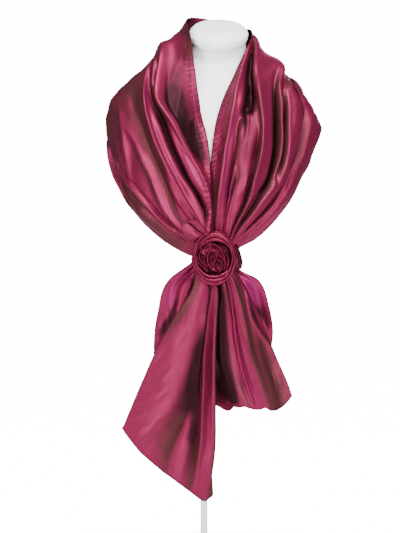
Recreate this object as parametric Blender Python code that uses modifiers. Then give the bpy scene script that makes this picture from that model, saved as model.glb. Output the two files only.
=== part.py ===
"""Evening stole of shot taffeta, worn on a bust form and drawn together by a fabric rose.

The stole is one rectangle of cloth. It lies round the back of the neck, comes forward over
both shoulders, runs through a sewn band on the chest, and falls in a long end and a short end.
Tables give sizes in millimetres: X to the viewer's right from the middle of the neck,
Y away from the viewer, Z up from the floor. The part's origin is the middle of the stand's
underside, which lies a little to the viewer's left of the neck, behind the long end.
"""

import math

import bmesh
import bpy
import numpy as np

MM = 0.001

# Driving sizes
CLOTH_WALL = 1.0
SEAM_GAP = 0.3
BASE_RADIUS = 140.0
BASE_THICKNESS = 9.0
POLE_RADIUS = 7.0
FORM_BOTTOM = 668.0
NECK_OFFSET = 26.0
GATHER_Y = -127.5
ROSE_CENTRE_X, ROSE_BACK_Y, ROSE_CENTRE_Z = -7.0, -154.5, 587.0
PETAL_WALL = 1.2
BAND_WALL = 1.4

# Folds: how many stations they take to start and end, how round their crests are, and how far past
# the last station a fold may run, as a share of the cloth
FOLD_FADE = 0.45
FOLD_ROUNDNESS = 1.7
END_REACH = 0.1

# Mesh density of the solids
SHAWL_ALONG, SHAWL_ACROSS = 38, 46
LONG_END_ALONG, LONG_END_ACROSS = 16, 34
SHORT_END_ALONG, SHORT_END_ACROSS = 12, 32
BAND_AROUND, BAND_UP = 32, 5
PETAL_ALONG, PETAL_ACROSS = 20, 5
HEART_ALONG, HEART_UP = 40, 2
LEAF_ALONG, LEAF_ACROSS = 8, 8
FORM_AROUND = 32

# Sections across the shawl, from the rose over one shoulder, round the back and down again.
# Columns: station, inner edge at the neck, upper, middle, lower, outer edge.
SHAWL_ACROSS_KNOTS = (0.0, 0.2, 0.46, 0.76, 1.0)
SHAWL_SECTIONS = (
    ("left ring", (-7, -124, 590), (-16, -142, 590), (-29, -143, 590), (-40, -132, 590), (-44, -116, 590)),
    ("left mouth", (-7, -126, 608), (-16, -142, 608), (-29, -143, 606), (-42, -132, 602), (-54, -113, 598)),
    ("left rose top", (-8, -131, 638), (-20, -146, 638), (-40, -147, 633), (-65, -134, 622), (-87, -106, 609)),
    ("left breast", (-11, -132, 708), (-46, -150, 704), (-88, -144, 692), (-132, -112, 674), (-156, -66, 668)),
    ("left chest", (-16, -108, 799), (-64, -134, 802), (-120, -124, 788), (-176, -80, 769), (-205, -14, 752)),
    ("left collarbone", (-34, -68.7, 889), (-84, -92, 905), (-144, -80, 896), (-200, -38, 868), (-218, 25, 808)),
    ("left shoulder top", (-53, -22, 1031), (-94, 2, 1017), (-138, 8, 976), (-204, 14, 904), (-214, 55, 800)),
    ("left shoulder back", (-62, 50, 1069), (-90, 68, 1016), (-124, 92, 944), (-174, 96, 858), (-181, 98, 752)),
    ("centre back", (2, 84, 1070), (2, 102, 1000), (0, 126, 920), (0, 146, 802), (0, 142, 672)),
    ("right shoulder back", (50, 58, 1052), (76, 76, 996), (118, 92, 932), (164, 94, 852), (172, 97, 754)),
    ("right shoulder top", (70, 9, 1037), (89, 6, 1008), (133, 10, 967), (180, 12, 901), (197, 56, 808)),
    ("right collarbone", (8, -70, 893), (58, -90, 908), (114, -80, 906), (174, -41, 884), (207, 25, 848)),
    ("right chest", (-9, -104, 809), (36, -132, 807), (91, -124, 798), (147, -80, 781), (177, -14, 775)),
    ("right breast", (-15, -121, 720), (19, -149, 712), (61, -144, 700), (111, -112, 688), (138, -66, 692)),
    ("right rose top", (-12, -121, 638), (11, -145, 638), (28, -146, 636), (52, -134, 629), (71, -108, 622)),
    ("right mouth", (-4, -119, 608), (8, -142, 608), (19, -143, 608), (28, -133, 609), (31, -118, 611)),
    ("right ring", (-1, -124, 590), (9, -142, 590), (20, -143, 590), (28, -133, 590), (31, -118, 590)),
)

# Folds of the shawl: name, width as a share of the section, then where it runs.
# Columns of a run: station counted from 0 in the table above (2.5 is half way from 2 to 3), place
# across from the inner edge (0) to the outer edge (1), height (mm).
SHAWL_FOLDS = (
    ("left collar pocket", 0.085, ((3.5, 0.07, -4), (4, 0.125, -12), (4.5, 0.18, -19), (5, 0.245, -24),
                                   (5.5, 0.22, -10))),
    ("left collar edge", 0.040, ((3, 0.03, 6), (3.5, 0.09, 8), (4, 0.185, 11), (4.5, 0.25, 12),
                                 (5, 0.34, 13), (5.5, 0.31, 8), (6, 0.20, 5), (7, 0.18, 6),
                                 (8, 0.17, 5), (9, 0.15, 5))),
    ("left inner crease", 0.040, ((2, 0.17, -5), (2.5, 0.10, -8), (3, 0.13, -13), (3.5, 0.235, -15),
                                  (4, 0.31, -14), (4.5, 0.345, -14), (5, 0.395, -12),
                                  (5.5, 0.415, -7))),
    ("left long pleat", 0.050, ((2, 0.33, 5), (2.5, 0.30, 8), (3, 0.295, 11), (3.5, 0.355, 13),
                                (4, 0.415, 14), (4.5, 0.45, 14), (5, 0.465, 12), (5.5, 0.45, 7),
                                (6, 0.42, 5), (7, 0.42, 7), (8, 0.44, 6), (9, 0.40, 5))),
    ("left flank", 0.045, ((2, 0.46, -4), (3, 0.445, -6), (4, 0.495, -8), (4.5, 0.565, -7),
                           (5, 0.62, -5))),
    ("left stripe", 0.045, ((2, 0.57, 5), (3, 0.525, 8), (3.5, 0.535, 9), (4, 0.55, 8), (4.5, 0.625, 6),
                            (5, 0.70, 3))),
    ("left shoulder pleat", 0.055, ((3.7, 0.76, 4), (4, 0.75, 6), (4.5, 0.725, 7), (5, 0.76, 4),
                                    (6, 0.76, 3), (7, 0.70, 6))),
    ("left low line", 0.035, ((2, 0.77, 4), (2.5, 0.72, 7), (3, 0.72, 9), (3.5, 0.785, 9),
                              (4, 0.87, 5))),
    ("left low trough", 0.040, ((2.5, 0.79, -3), (3, 0.80, -5), (3.5, 0.87, -5))),
    ("left hem groove", 0.035, ((4, 0.94, -6), (4.5, 0.93, -6), (5, 0.92, -3))),
    ("nape swag", 0.06, ((7, 0.28, -8), (8, 0.30, -9), (9, 0.28, -8))),
    ("nape ridge", 0.05, ((7.2, 0.36, 4), (8, 0.37, 6), (8.5, 0.36, 4))),
    ("blade swag", 0.06, ((7, 0.60, -7), (8, 0.58, -10), (9, 0.61, -7))),
    ("low ridge", 0.06, ((7, 0.74, 7), (8, 0.71, 9), (9, 0.69, 7))),
    ("low swag", 0.06, ((7, 0.84, -7), (8, 0.84, -8), (9, 0.82, -6))),
    ("right inner band", 0.040, ((10.5, 0.055, 5), (11, 0.11, 8), (12, 0.125, 9), (13, 0.13, 9),
                                 (14, 0.09, 5))),
    ("right inner crease", 0.035, ((11.6, 0.17, -5), (12, 0.19, -8), (12.5, 0.195, -10),
                                   (13, 0.19, -11), (14, 0.17, -4))),
    ("right deep pocket", 0.065, ((10, 0.05, -5), (10.5, 0.125, -14), (11, 0.21, -23),
                                  (11.4, 0.225, -8))),
    ("right chest panel", 0.080, ((11.7, 0.27, 4), (12, 0.29, 7), (13, 0.325, 8), (14, 0.33, 5))),
    ("right tall pleat", 0.045, ((10, 0.09, 4), (10.5, 0.20, 10), (11, 0.32, 14), (11.5, 0.40, 13),
                                 (12, 0.445, 12), (13, 0.47, 10), (14, 0.48, 5))),
    ("right first trough", 0.036, ((10.6, 0.41, -5), (11, 0.46, -12), (11.5, 0.515, -14),
                                   (12, 0.57, -15), (12.5, 0.58, -14), (13, 0.53, -12),
                                   (14, 0.54, -5))),
    ("right second trough", 0.036, ((10.7, 0.52, -4), (11, 0.565, -11), (11.5, 0.62, -13),
                                    (12, 0.665, -12), (12.3, 0.66, -7))),
    ("right side pleat", 0.055, ((10.5, 0.57, 4), (11, 0.665, 6), (11.5, 0.71, 7), (12, 0.735, 7),
                                 (12.5, 0.675, 8), (13, 0.60, 8), (14, 0.61, 5))),
    ("right low line", 0.036, ((10.3, 0.55, -4), (10.6, 0.64, -7), (11, 0.77, -7), (11.5, 0.82, -9),
                               (12, 0.815, -11), (12.5, 0.76, -9), (13, 0.72, -12), (14, 0.70, -4))),
    ("right outer band", 0.060, ((10.7, 0.83, 3), (11, 0.88, 6), (11.5, 0.92, 8), (12, 0.92, 8),
                                 (12.5, 0.87, 8), (13, 0.83, 8), (14, 0.84, 4))),
    ("right shoulder puff", 0.055, ((9.7, 0.35, 4), (10, 0.38, 9), (10.3, 0.43, 9), (10.6, 0.46, 3))),
)

# Sections down each end. The sheet is folded lengthwise, so a section runs from the outer hem
# over the front panel to the fold beside the centre, then behind to the hem of the back layer.
END_KNOTS = (0.0, 0.17, 0.32, 0.47, 0.55, 0.68, 0.84, 1.0)
LONG_END_SECTIONS = (
    ("ring", (-41, -130, 589.3), (-31, -142, 589.3), (-17, -143, 589.3), (-7, -134, 589.3),
     (-7, -123, 589.3), (-17, -116, 589.3), (-30, -113, 589.3), (-43, -118, 589.3)),
    ("mouth", (-43, -130, 579), (-31, -142, 576), (-17, -143, 574), (-7, -134, 574),
     (-7, -123, 574), (-17, -116, 574), (-33, -113, 578), (-48, -116, 582)),
    ("below rose", (-47, -130, 536), (-27, -142, 534), (-9, -140, 532), (2, -132, 532),
     (0, -120, 532), (-28, -108, 532), (-63, -111, 538), (-96, -104, 545)),
    ("hip", (-82, -126, 476), (-48, -138, 472), (-18, -134, 470), (0, -128, 470),
     (-3, -114, 468), (-38, -103, 466), (-82, -108, 470), (-118, -98, 478)),
    ("knee", (-118, -122, 412), (-69, -136, 406), (-28, -130, 402), (-3, -127, 402),
     (-8, -113, 402), (-42, -101, 404), (-88, -106, 408), (-125, -97, 420)),
    ("shin", (-154, -120, 332), (-95, -134, 314), (-38, -127, 300), (-3, -125, 296),
     (-10, -111, 300), (-44, -99, 306), (-84, -103, 316), (-118, -97, 334)),
    ("low", (-174, -119, 284), (-119, -131, 244), (-54, -125, 212), (-5, -123, 200),
     (-13, -110, 208), (-42, -99, 222), (-76, -101, 240), (-106, -96, 262)),
    ("hem", (-189, -118, 249), (-131, -128, 195), (-76, -124, 149), (-16, -121, 110),
     (-14, -110, 121), (-38, -101, 140), (-68, -101, 160), (-98, -97, 188)),
)
LONG_END_FOLDS = (
    ("panel swell", 0.07, ((2, 0.09, 3), (3, 0.10, 6), (4, 0.11, 7), (5, 0.11, 6), (6, 0.11, 4),
                           (7, 0.11, 3))),
    ("wide shadow", 0.045, ((2, 0.21, -4), (3, 0.245, -9), (4, 0.255, -13), (5, 0.24, -15),
                            (6, 0.225, -12), (7, 0.215, -6))),
    ("middle ridge", 0.035, ((3.6, 0.295, 3), (4.3, 0.295, 6), (5, 0.29, 9), (6, 0.295, 10),
                             (7, 0.31, 6))),
    ("second shadow", 0.035, ((3.5, 0.325, -6), (4, 0.328, -10), (5, 0.336, -12), (6, 0.35, -12),
                              (7, 0.37, -6))),
    ("upright ridge", 0.035, ((2, 0.34, 5), (3, 0.35, 7), (4, 0.38, 8), (5, 0.395, 9), (6, 0.41, 8),
                              (7, 0.43, 5))),
    ("back trough", 0.045, ((2, 0.70, -4), (3, 0.72, -7), (4, 0.73, -8), (5, 0.72, -7), (6, 0.72, -5))),
    ("ear ridge", 0.036, ((1.6, 0.80, 3), (2, 0.82, 5), (3, 0.82, 6), (3.7, 0.82, 4))),
    ("ear crease", 0.036, ((1.6, 0.88, -4), (2, 0.89, -6), (3, 0.895, -6), (4, 0.89, -5))),
)
SHORT_END_SECTIONS = (
    ("ring", (33, -130, 589.3), (23, -142, 589.3), (10, -143, 589.3), (-1, -134, 589.3),
     (-1, -123, 589.3), (8, -116, 589.3), (20, -113, 589.3), (34, -118, 589.3)),
    ("mouth", (35, -130, 572), (24, -142, 572), (11, -143, 573), (-1, -134, 574),
     (-1, -123, 574), (9, -116, 574), (24, -113, 572), (40, -117, 570)),
    ("below rose", (51, -120, 538), (38, -136, 535), (23, -140, 533), (9, -131, 532),
     (-1, -110, 532), (18, -100, 532), (52, -105, 537), (80, -102, 546)),
    ("hip", (82, -114, 476), (61, -130, 472), (36, -136, 470), (13, -120, 470),
     (-5, -101, 470), (17, -91, 472), (62, -97, 478), (102, -96, 492)),
    ("knee", (109, -112, 410), (80, -128, 404), (47, -134, 402), (17, -116, 402),
     (-7, -98, 402), (14, -88, 404), (62, -94, 414), (109, -94, 430)),
    ("shin", (138, -110, 346), (100, -126, 342), (57, -132, 342), (21, -115, 344),
     (-7, -98, 346), (12, -88, 342), (50, -93, 350), (92, -94, 368)),
    ("hem", (150, -108, 306), (110, -124, 289), (63, -131, 293), (27, -115, 299),
     (-7, -98, 306), (20, -89, 287), (44, -93, 308), (80, -94, 332)),
)
SHORT_END_FOLDS = (
    ("outer swell", 0.06, ((3, 0.09, 4), (4, 0.10, 7), (5, 0.11, 7), (6, 0.11, 4))),
    ("brown flank", 0.040, ((2, 0.20, -4), (3, 0.22, -8), (4, 0.235, -9), (5, 0.22, -9),
                            (6, 0.20, -4))),
    ("bright ridge", 0.045, ((2, 0.335, 5), (3, 0.36, 8), (4, 0.36, 9), (5, 0.325, 9), (6, 0.285, 5))),
    ("centre shadow", 0.040, ((2, 0.43, -5), (3, 0.46, -7), (4, 0.46, -7), (5, 0.435, -6),
                              (6, 0.42, -3))),
    ("back trough", 0.045, ((2, 0.72, -4), (3, 0.74, -6), (4, 0.74, -6), (5, 0.74, -4))),
    ("ear ridge", 0.036, ((1.6, 0.80, 3), (2, 0.82, 5), (3, 0.82, 6), (3.6, 0.82, 4))),
    ("ear crease", 0.036, ((1.6, 0.88, -4), (2, 0.89, -6), (3, 0.895, -6), (4, 0.90, -4))),
)

# The sewn band round the gather, from its lower hem (0) to its upper hem (1). It is wide at the
# viewer's right and narrow at the left, where the cloth spreads straight from the rose.
# Columns: share of the way up, centre across, half width, half depth.
BAND_SECTIONS = (
    (0.0, -2.5, 50.5, 24.0),
    (0.18, -3.0, 52.0, 25.5),
    (0.5, -5.0, 50.0, 26.0),
    (0.82, -6.0, 48.0, 25.0),
    (1.0, -6.0, 47.6, 24.0),
)
BAND_LOWER = (575.0, -9.0)
BAND_UPPER = (595.5, 5.5)

# Petals of the rose: name, how far its root reaches back, then rows round the rose's centre,
# with angles from the viewer's right, upwards.
# Columns: angle, radius of the rolled rim, width of the roll, how far it stands forward.
ROSE_PETALS = (
    ("rose_petal_outer", 1.7, ((122, 40.0, 4, 8), (140, 42.5, 8, 12), (180, 42.5, 9, 14), (225, 43.0, 13, 16),
                          (270, 43.0, 15, 17), (315, 43.0, 12, 16), (350, 42.5, 7, 14), (385, 41.5, 4, 9))),
    ("rose_petal_top", 0.3, ((-30, 30.0, 3, 8), (-10, 32.5, 6, 13), (20, 34.5, 7, 17), (50, 41.0, 12, 20),
                        (80, 42.5, 13, 20), (105, 38.0, 8, 17), (130, 33.5, 4, 12), (150, 31.0, 3, 8))),
    ("rose_petal_lip", 0.0, ((178, 31.0, 4, 9), (205, 29.5, 6, 14), (240, 27.3, 8, 17), (270, 26.3, 9, 18),
                        (300, 26.5, 8, 17), (325, 25.0, 5, 13), (342, 23.5, 4, 9))),
    ("rose_petal_inner", 0.3, ((10, 24.5, 4, 10), (40, 26.0, 5, 14), (75, 28.0, 7, 16), (110, 28.0, 7, 17),
                          (140, 26.5, 6, 15), (165, 26.0, 4, 10))),
)
ROSE_STRETCH = 1.24
PETAL_PROFILE = ((1.0, 0.0), (0.55, 0.03), (0.12, 0.22), (0.0, 0.55), (0.14, 0.86), (0.45, 1.0), (0.85, 0.86))
# The heart of the rose, a wound strip: turns from the outside, radius, height.
ROSE_HEART = ((0.0, 16.0, 8), (0.5, 14.8, 11), (1.0, 11.5, 12), (1.5, 9.0, 10), (2.0, 6.0, 11),
              (2.4, 3.6, 9))

# The folded leaf beside the rose, from its tip to where it goes in under the petals.
# Columns: lower edge, middle, crease, turned-over edge.
LEAF_SECTIONS = (
    ((-66.5, -163, 649), (-64, -166, 655), (-60.5, -163, 659), (-57, -166, 662)),
    ((-68, -161, 636), (-62, -168, 645), (-55, -163, 653), (-49, -167, 661)),
    ((-60, -160, 624), (-52, -168, 635), (-46, -163, 646), (-39, -167, 655)),
    ((-50, -159, 619), (-43, -165, 629), (-37, -163, 640), (-29, -166, 648)),
    ((-41.3, -158, 620), (-34.3, -162, 629), (-28.3, -161, 636), (-18.5, -162, 641)),
)

# Bust form: height, half width, front, back, roundness of the section (2 is an ellipse).
FORM_SECTIONS = (
    (FORM_BOTTOM, 62, -50, 62, 2.0),
    (670, 84, -70, 76, 2.0),
    (678, 104, -86, 88, 2.1),
    (700, 122, -98, 96, 2.2),
    (750, 142, -103, 103, 2.3),
    (800, 160, -98, 106, 2.4),
    (846, 172, -86, 104, 2.5),
    (880, 174, -72, 99, 2.5),
    (906, 162, -60, 95, 2.3),
    (926, 140, -50, 90, 2.2),
    (944, 114, -41, 85, 2.1),
    (960, 88, -34, 80, 2.0),
    (974, 70, -30, 77, 2.0),
    (990, 60, -30, 73, 2.0),
    (1008, 56, -34, 69, 2.0),
    (1019, 55, -37, 66, 2.0),
)
FORM_X = 3.0

# Neck cap: height, half width, half depth.
CAP_SECTIONS = (
    (1019.35, 54, 51),
    (1023, 56, 53),
    (1030, 59, 55.5),
    (1038, 60, 56),
    (1045, 56, 52),
    (1051, 49, 44),
    (1055, 38, 33),
)
CAP_CENTRE_Y = 14.0

# The neck and its cap tip forward, as on most forms: fall for each millimetre in front of the
# cap's centre, the height where the tip begins and the height where it is full.
NECK_TIP = 0.45
TIP_BEGINS, TIP_FULL = 974.0, 1019.0

COLOURS = {
    "taffeta": (0.38, 0.03, 0.13, 0.32, 0.0),
    "rose_taffeta": (0.42, 0.03, 0.13, 0.35, 0.0),
    "form_white": (0.80, 0.78, 0.77, 0.6, 0.0),
    "stand_white": (0.82, 0.81, 0.80, 0.4, 0.0),
}


def clear_scene():
    for thing in list(bpy.data.objects):
        bpy.data.objects.remove(thing, do_unlink=True)


def material(name):
    """A Principled material with this slot's colour, roughness and metallic value."""
    found = bpy.data.materials.get(name)
    if found:
        return found
    red, green, blue, roughness, metallic = COLOURS[name]
    made = bpy.data.materials.new(name)
    made.use_nodes = True
    shader = made.node_tree.nodes["Principled BSDF"]
    shader.inputs["Base Color"].default_value = (red, green, blue, 1.0)
    shader.inputs["Roughness"].default_value = roughness
    shader.inputs["Metallic"].default_value = metallic
    return made


def smooth_through(knots, rows, at):
    """A smooth curve through rows that stand at knots, read at each value of at."""
    knots = np.asarray(knots, float)
    rows = np.asarray(rows, float)
    at = np.clip(np.asarray(at, float), knots[0], knots[-1])
    steps = np.diff(knots)
    spread = (-1,) + (1,) * (rows.ndim - 1)
    slopes = np.diff(rows, axis=0) / steps.reshape(spread)
    turn = np.empty_like(rows)
    turn[0], turn[-1] = slopes[0], slopes[-1]
    before, after = steps[:-1].reshape(spread), steps[1:].reshape(spread)
    turn[1:-1] = (after * slopes[:-1] + before * slopes[1:]) / (before + after)
    index = np.clip(np.searchsorted(knots, at, side="right") - 1, 0, len(steps) - 1)
    gap = steps[index].reshape(spread)
    t = ((at - knots[index]) / steps[index]).reshape(spread)
    start, end = rows[index], rows[index + 1]
    return (
        start * (2 * t**3 - 3 * t**2 + 1)
        + turn[index] * gap * (t**3 - 2 * t**2 + t)
        + end * (3 * t**2 - 2 * t**3)
        + turn[index + 1] * gap * (t**3 - t**2)
    )


def eased_through(knots, values, at):
    """Values at knots joined by soft steps that never overshoot, for the heights of folds."""
    index = np.clip(np.searchsorted(knots, at, side="right") - 1, 0, len(knots) - 2)
    start = np.asarray(knots, float)[index]
    end = np.asarray(knots, float)[index + 1]
    t = np.clip((at - start) / (end - start), 0, 1)
    t = t * t * (3 - 2 * t)
    values = np.asarray(values, float)
    return values[index] * (1 - t) + values[index + 1] * t


def station_places(sections):
    """Each station's share of the way along the cloth."""
    points = np.array([row[1:] for row in sections], float)
    steps = np.linalg.norm(np.diff(points, axis=0), axis=2).mean(axis=1)
    along = np.concatenate([[0], np.cumsum(steps)])
    return along / along[-1]


def grid_normals(points):
    along = np.gradient(points, axis=0)
    across = np.gradient(points, axis=1)
    normals = np.cross(along, across)
    return normals / np.maximum(np.linalg.norm(normals, axis=2, keepdims=True), 1e-9)


def fold_heights(folds, places, along, across):
    """How far each point of the cloth stands out of or in from its base surface."""
    height = np.zeros((len(along), len(across)))
    for _, width, run in folds:
        stations = [run[0][0] - FOLD_FADE] + [row[0] for row in run] + [run[-1][0] + FOLD_FADE]
        knots = np.interp(stations, range(-1, len(places) + 1), [-END_REACH] + list(places) + [1 + END_REACH])
        middle = [run[0][1]] + [row[1] for row in run] + [run[-1][1]]
        tall = [0] + [row[2] for row in run] + [0]
        centre = eased_through(knots, middle, along)
        rise = eased_through(knots, tall, along)
        rise = np.where((along < knots[0]) | (along > knots[-1]), 0, rise)
        offset = np.abs(across[None, :] - centre[:, None]) / width
        height += rise[:, None] * np.exp(-(offset**FOLD_ROUNDNESS))
    return height


def cloth_points(sections, knots, folds, along, across, facing):
    """The folded surface of a piece of cloth as a grid of points; facing is 1 or -1."""
    table = np.array([row[1:] for row in sections], float)
    places = station_places(sections)
    rows = np.stack([smooth_through(knots, section, across) for section in table])
    points = smooth_through(places, rows, along)
    normals = grid_normals(points) * facing
    return points + normals * fold_heights(folds, places, along, across)[:, :, None]


def in_metres(points):
    """Table points, measured from the neck, as points of the part, measured from the stand."""
    return (np.asarray(points, float) + (NECK_OFFSET, 0.0, 0.0)) * MM


def link(name, mesh, slot, group):
    made = bpy.data.objects.new(name, mesh)
    group.objects.link(made)
    mesh.materials.append(material(slot))
    return made


def mesh_from_grid(name, points, closed=False):
    """A mesh of four-sided faces over a grid of points; closed joins the last column to the first."""
    rows, columns = points.shape[:2]
    mesh = bpy.data.meshes.new(name)
    faces = []
    for row in range(rows - 1):
        for column in range(columns if closed else columns - 1):
            beside = (column + 1) % columns
            faces.append((row * columns + column, row * columns + beside,
                          (row + 1) * columns + beside, (row + 1) * columns + column))
    mesh.from_pydata(in_metres(points.reshape(-1, 3)).tolist(), [], faces)
    mesh.update()
    return mesh


def cloth_wall(name, points, slot, group, thickness=CLOTH_WALL, closed=False):
    """A sheet of cloth: the grid's surface thickened evenly to both sides."""
    made = link(name, mesh_from_grid(name, points, closed), slot, group)
    wall = made.modifiers.new("wall", "SOLIDIFY")
    wall.thickness = thickness * MM
    wall.offset = 0.0
    made.data.shade_smooth()
    return made


def loft(name, rings, slot, group):
    """A closed solid through rings of equal count, with a flat cap at each end."""
    mesh = mesh_from_grid(name, rings, closed=True)
    bm = bmesh.new()
    bm.from_mesh(mesh)
    bm.verts.ensure_lookup_table()
    count = rings.shape[1]
    bm.faces.new([bm.verts[i] for i in range(count)])
    bm.faces.new([bm.verts[i] for i in range(len(bm.verts) - count, len(bm.verts))])
    bmesh.ops.recalc_face_normals(bm, faces=bm.faces)
    bm.to_mesh(mesh)
    bm.free()
    mesh.shade_smooth()
    mesh.set_sharp_from_angle(angle=math.radians(50))
    return link(name, mesh, slot, group)


def tipped_ring(side, depth, height):
    """A level ring of points, tipped forward as far as the neck is at its height."""
    share = min(max((height - TIP_BEGINS) / (TIP_FULL - TIP_BEGINS), 0), 1)
    return np.stack([side + FORM_X, depth, height + NECK_TIP * share * (depth - CAP_CENTRE_Y)], axis=1)


def build_form(group):
    """The torso and neck as one smooth loft, and the neck's cap."""
    turn = np.linspace(0, 2 * math.pi, FORM_AROUND, endpoint=False)
    rings = []
    for height, half_width, front, back, roundness in FORM_SECTIONS:
        power = 2 / roundness
        side = np.sign(np.cos(turn)) * np.abs(np.cos(turn)) ** power * half_width
        depth = np.sign(np.sin(turn)) * np.abs(np.sin(turn)) ** power * (back - front) / 2
        rings.append(tipped_ring(side, depth + (front + back) / 2, height))
    loft("bust_form", np.array(rings), "form_white", group)
    caps = [tipped_ring(np.cos(turn) * half_width, np.sin(turn) * half_depth + CAP_CENTRE_Y, height)
            for height, half_width, half_depth in CAP_SECTIONS]
    loft("neck_cap", np.array(caps), "form_white", group)


def build_stand(group):
    """A round steel base with a bevelled rim, and the pole that carries the form."""
    mesh = bpy.data.meshes.new("stand_base")
    bm = bmesh.new()
    bmesh.ops.create_cone(bm, cap_ends=True, segments=48, radius1=BASE_RADIUS * MM,
                          radius2=BASE_RADIUS * MM, depth=BASE_THICKNESS * MM)
    bmesh.ops.translate(bm, verts=bm.verts, vec=(0, 0, BASE_THICKNESS / 2 * MM))
    bm.to_mesh(mesh)
    bm.free()
    base = link("stand_base", mesh, "stand_white", group)
    rim = base.modifiers.new("rim", "BEVEL")
    rim.width, rim.segments = 2.5 * MM, 2
    mesh.shade_smooth()
    mesh.set_sharp_from_angle(angle=math.radians(35))

    bottom = BASE_THICKNESS + SEAM_GAP
    length = FORM_BOTTOM - SEAM_GAP - bottom
    mesh = bpy.data.meshes.new("stand_pole")
    bm = bmesh.new()
    bmesh.ops.create_cone(bm, cap_ends=True, segments=24, radius1=POLE_RADIUS * MM,
                          radius2=POLE_RADIUS * MM, depth=length * MM)
    bmesh.ops.translate(bm, verts=bm.verts, vec=(0, 0, (bottom + length / 2) * MM))
    bm.to_mesh(mesh)
    bm.free()
    mesh.shade_smooth()
    mesh.set_sharp_from_angle(angle=math.radians(35))
    link("stand_pole", mesh, "stand_white", group)


def build_cloth(group):
    """The stole's stretches that show: shoulder drape, two ends and their side folds."""
    along = np.linspace(0, 1, SHAWL_ALONG + 1)
    across = np.linspace(0, 1, SHAWL_ACROSS + 1)
    cloth_wall("shoulder_drape", cloth_points(SHAWL_SECTIONS, SHAWL_ACROSS_KNOTS, SHAWL_FOLDS,
                                              along, across, 1), "taffeta", group)
    ends = (
        ("long_end", LONG_END_SECTIONS, LONG_END_FOLDS, LONG_END_ALONG, LONG_END_ACROSS, -1),
        ("short_end", SHORT_END_SECTIONS, SHORT_END_FOLDS, SHORT_END_ALONG, SHORT_END_ACROSS, 1),
    )
    for name, sections, folds, rows, columns, facing in ends:
        points = cloth_points(sections, END_KNOTS, folds, np.linspace(0, 1, rows + 1),
                              np.linspace(0, 1, columns + 1), facing)
        cloth_wall(name, points, "taffeta", group)


def build_band(group):
    """The loop of cloth that holds the gather, a puffed strip closed round both ends."""
    turn = np.linspace(0, 2 * math.pi, BAND_AROUND, endpoint=False)
    table = np.array(BAND_SECTIONS, float)
    share = np.linspace(0, 1, BAND_UP + 1)
    rows = smooth_through(table[:, 0], table, share)
    round_x = np.sign(np.cos(turn)) * np.abs(np.cos(turn)) ** (2 / 3)
    round_y = np.sign(np.sin(turn)) * np.abs(np.sin(turn)) ** (2 / 3)
    lower = BAND_LOWER[0] + BAND_LOWER[1] * np.cos(turn)
    upper = BAND_UPPER[0] + BAND_UPPER[1] * np.cos(turn)
    rings = [np.stack([centre + round_x * width, GATHER_Y + round_y * depth,
                       lower + (upper - lower) * up], axis=1) for up, centre, width, depth in rows]
    cloth_wall("rose_band", np.array(rings), "rose_taffeta", group, BAND_WALL, closed=True)


def petal_points(rows, back, along, across):
    """A rolled petal: its rim follows the rows, its profile curls from the root over the front."""
    table = np.array(rows, float)
    share = (table[:, 0] - table[0, 0]) / (table[-1, 0] - table[0, 0])
    angle, radius, width, rise = smooth_through(share, table, np.linspace(0, 1, along + 1)).T
    profile = np.array(PETAL_PROFILE)
    curl = smooth_through(np.linspace(0, 1, len(profile)), profile, np.linspace(0, 1, across + 1))
    out = radius[:, None] - width[:, None] * curl[None, :, 0]
    forward = rise[:, None] * curl[None, :, 1] - back * curl[None, :, 0] ** 2
    turn = np.radians(angle)[:, None]
    return np.stack([ROSE_CENTRE_X + out * np.cos(turn), ROSE_BACK_Y - forward,
                     ROSE_CENTRE_Z + out * np.sin(turn) * ROSE_STRETCH], axis=2)


def build_rose(group):
    """The rose's rolled petals, its wound heart, and the folded leaf beside it."""
    for name, back, rows in ROSE_PETALS:
        cloth_wall(name, petal_points(rows, back, PETAL_ALONG, PETAL_ACROSS), "rose_taffeta", group, PETAL_WALL)
    table = np.array(ROSE_HEART, float)
    turns, radius, height = smooth_through(table[:, 0], table, np.linspace(0, table[-1, 0], HEART_ALONG + 1)).T
    angle = turns * 2 * math.pi + 1.2
    level = np.linspace(0, 1, HEART_UP + 1)
    out = radius[:, None] + 1.2 * level[None, :] ** 2
    heart = np.stack([ROSE_CENTRE_X + out * np.cos(angle)[:, None],
                      ROSE_BACK_Y - height[:, None] * level[None, :],
                      ROSE_CENTRE_Z + 1.5 + out * np.sin(angle)[:, None] * ROSE_STRETCH], axis=2)
    cloth_wall("rose_heart", heart, "rose_taffeta", group, PETAL_WALL)
    table = np.array(LEAF_SECTIONS, float)
    rows = np.stack([smooth_through((0, 0.4, 0.72, 1), row, np.linspace(0, 1, LEAF_ACROSS + 1)) for row in table])
    leaf = smooth_through(np.linspace(0, 1, len(table)), rows, np.linspace(0, 1, LEAF_ALONG + 1))
    cloth_wall("rose_leaf", leaf, "rose_taffeta", group, PETAL_WALL)


def main():
    clear_scene()
    group = bpy.data.collections.new("evening_stole")
    bpy.context.scene.collection.children.link(group)
    build_form(group)
    build_stand(group)
    build_cloth(group)
    build_band(group)
    build_rose(group)


main()
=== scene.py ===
# %% [markdown]
# # An evening stole on a dress form
# The object is one long rectangle of shot taffeta. It lies round the back of a neck form, comes
# forward over both shoulders, runs through a sewn band on the chest and falls in two ends. A rose
# rolled from the same cloth sits on the band.
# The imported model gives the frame: sizes, places and what carries what. Everything below is made
# in that frame, in metres, and stands in for the plain solids.

import math

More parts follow.
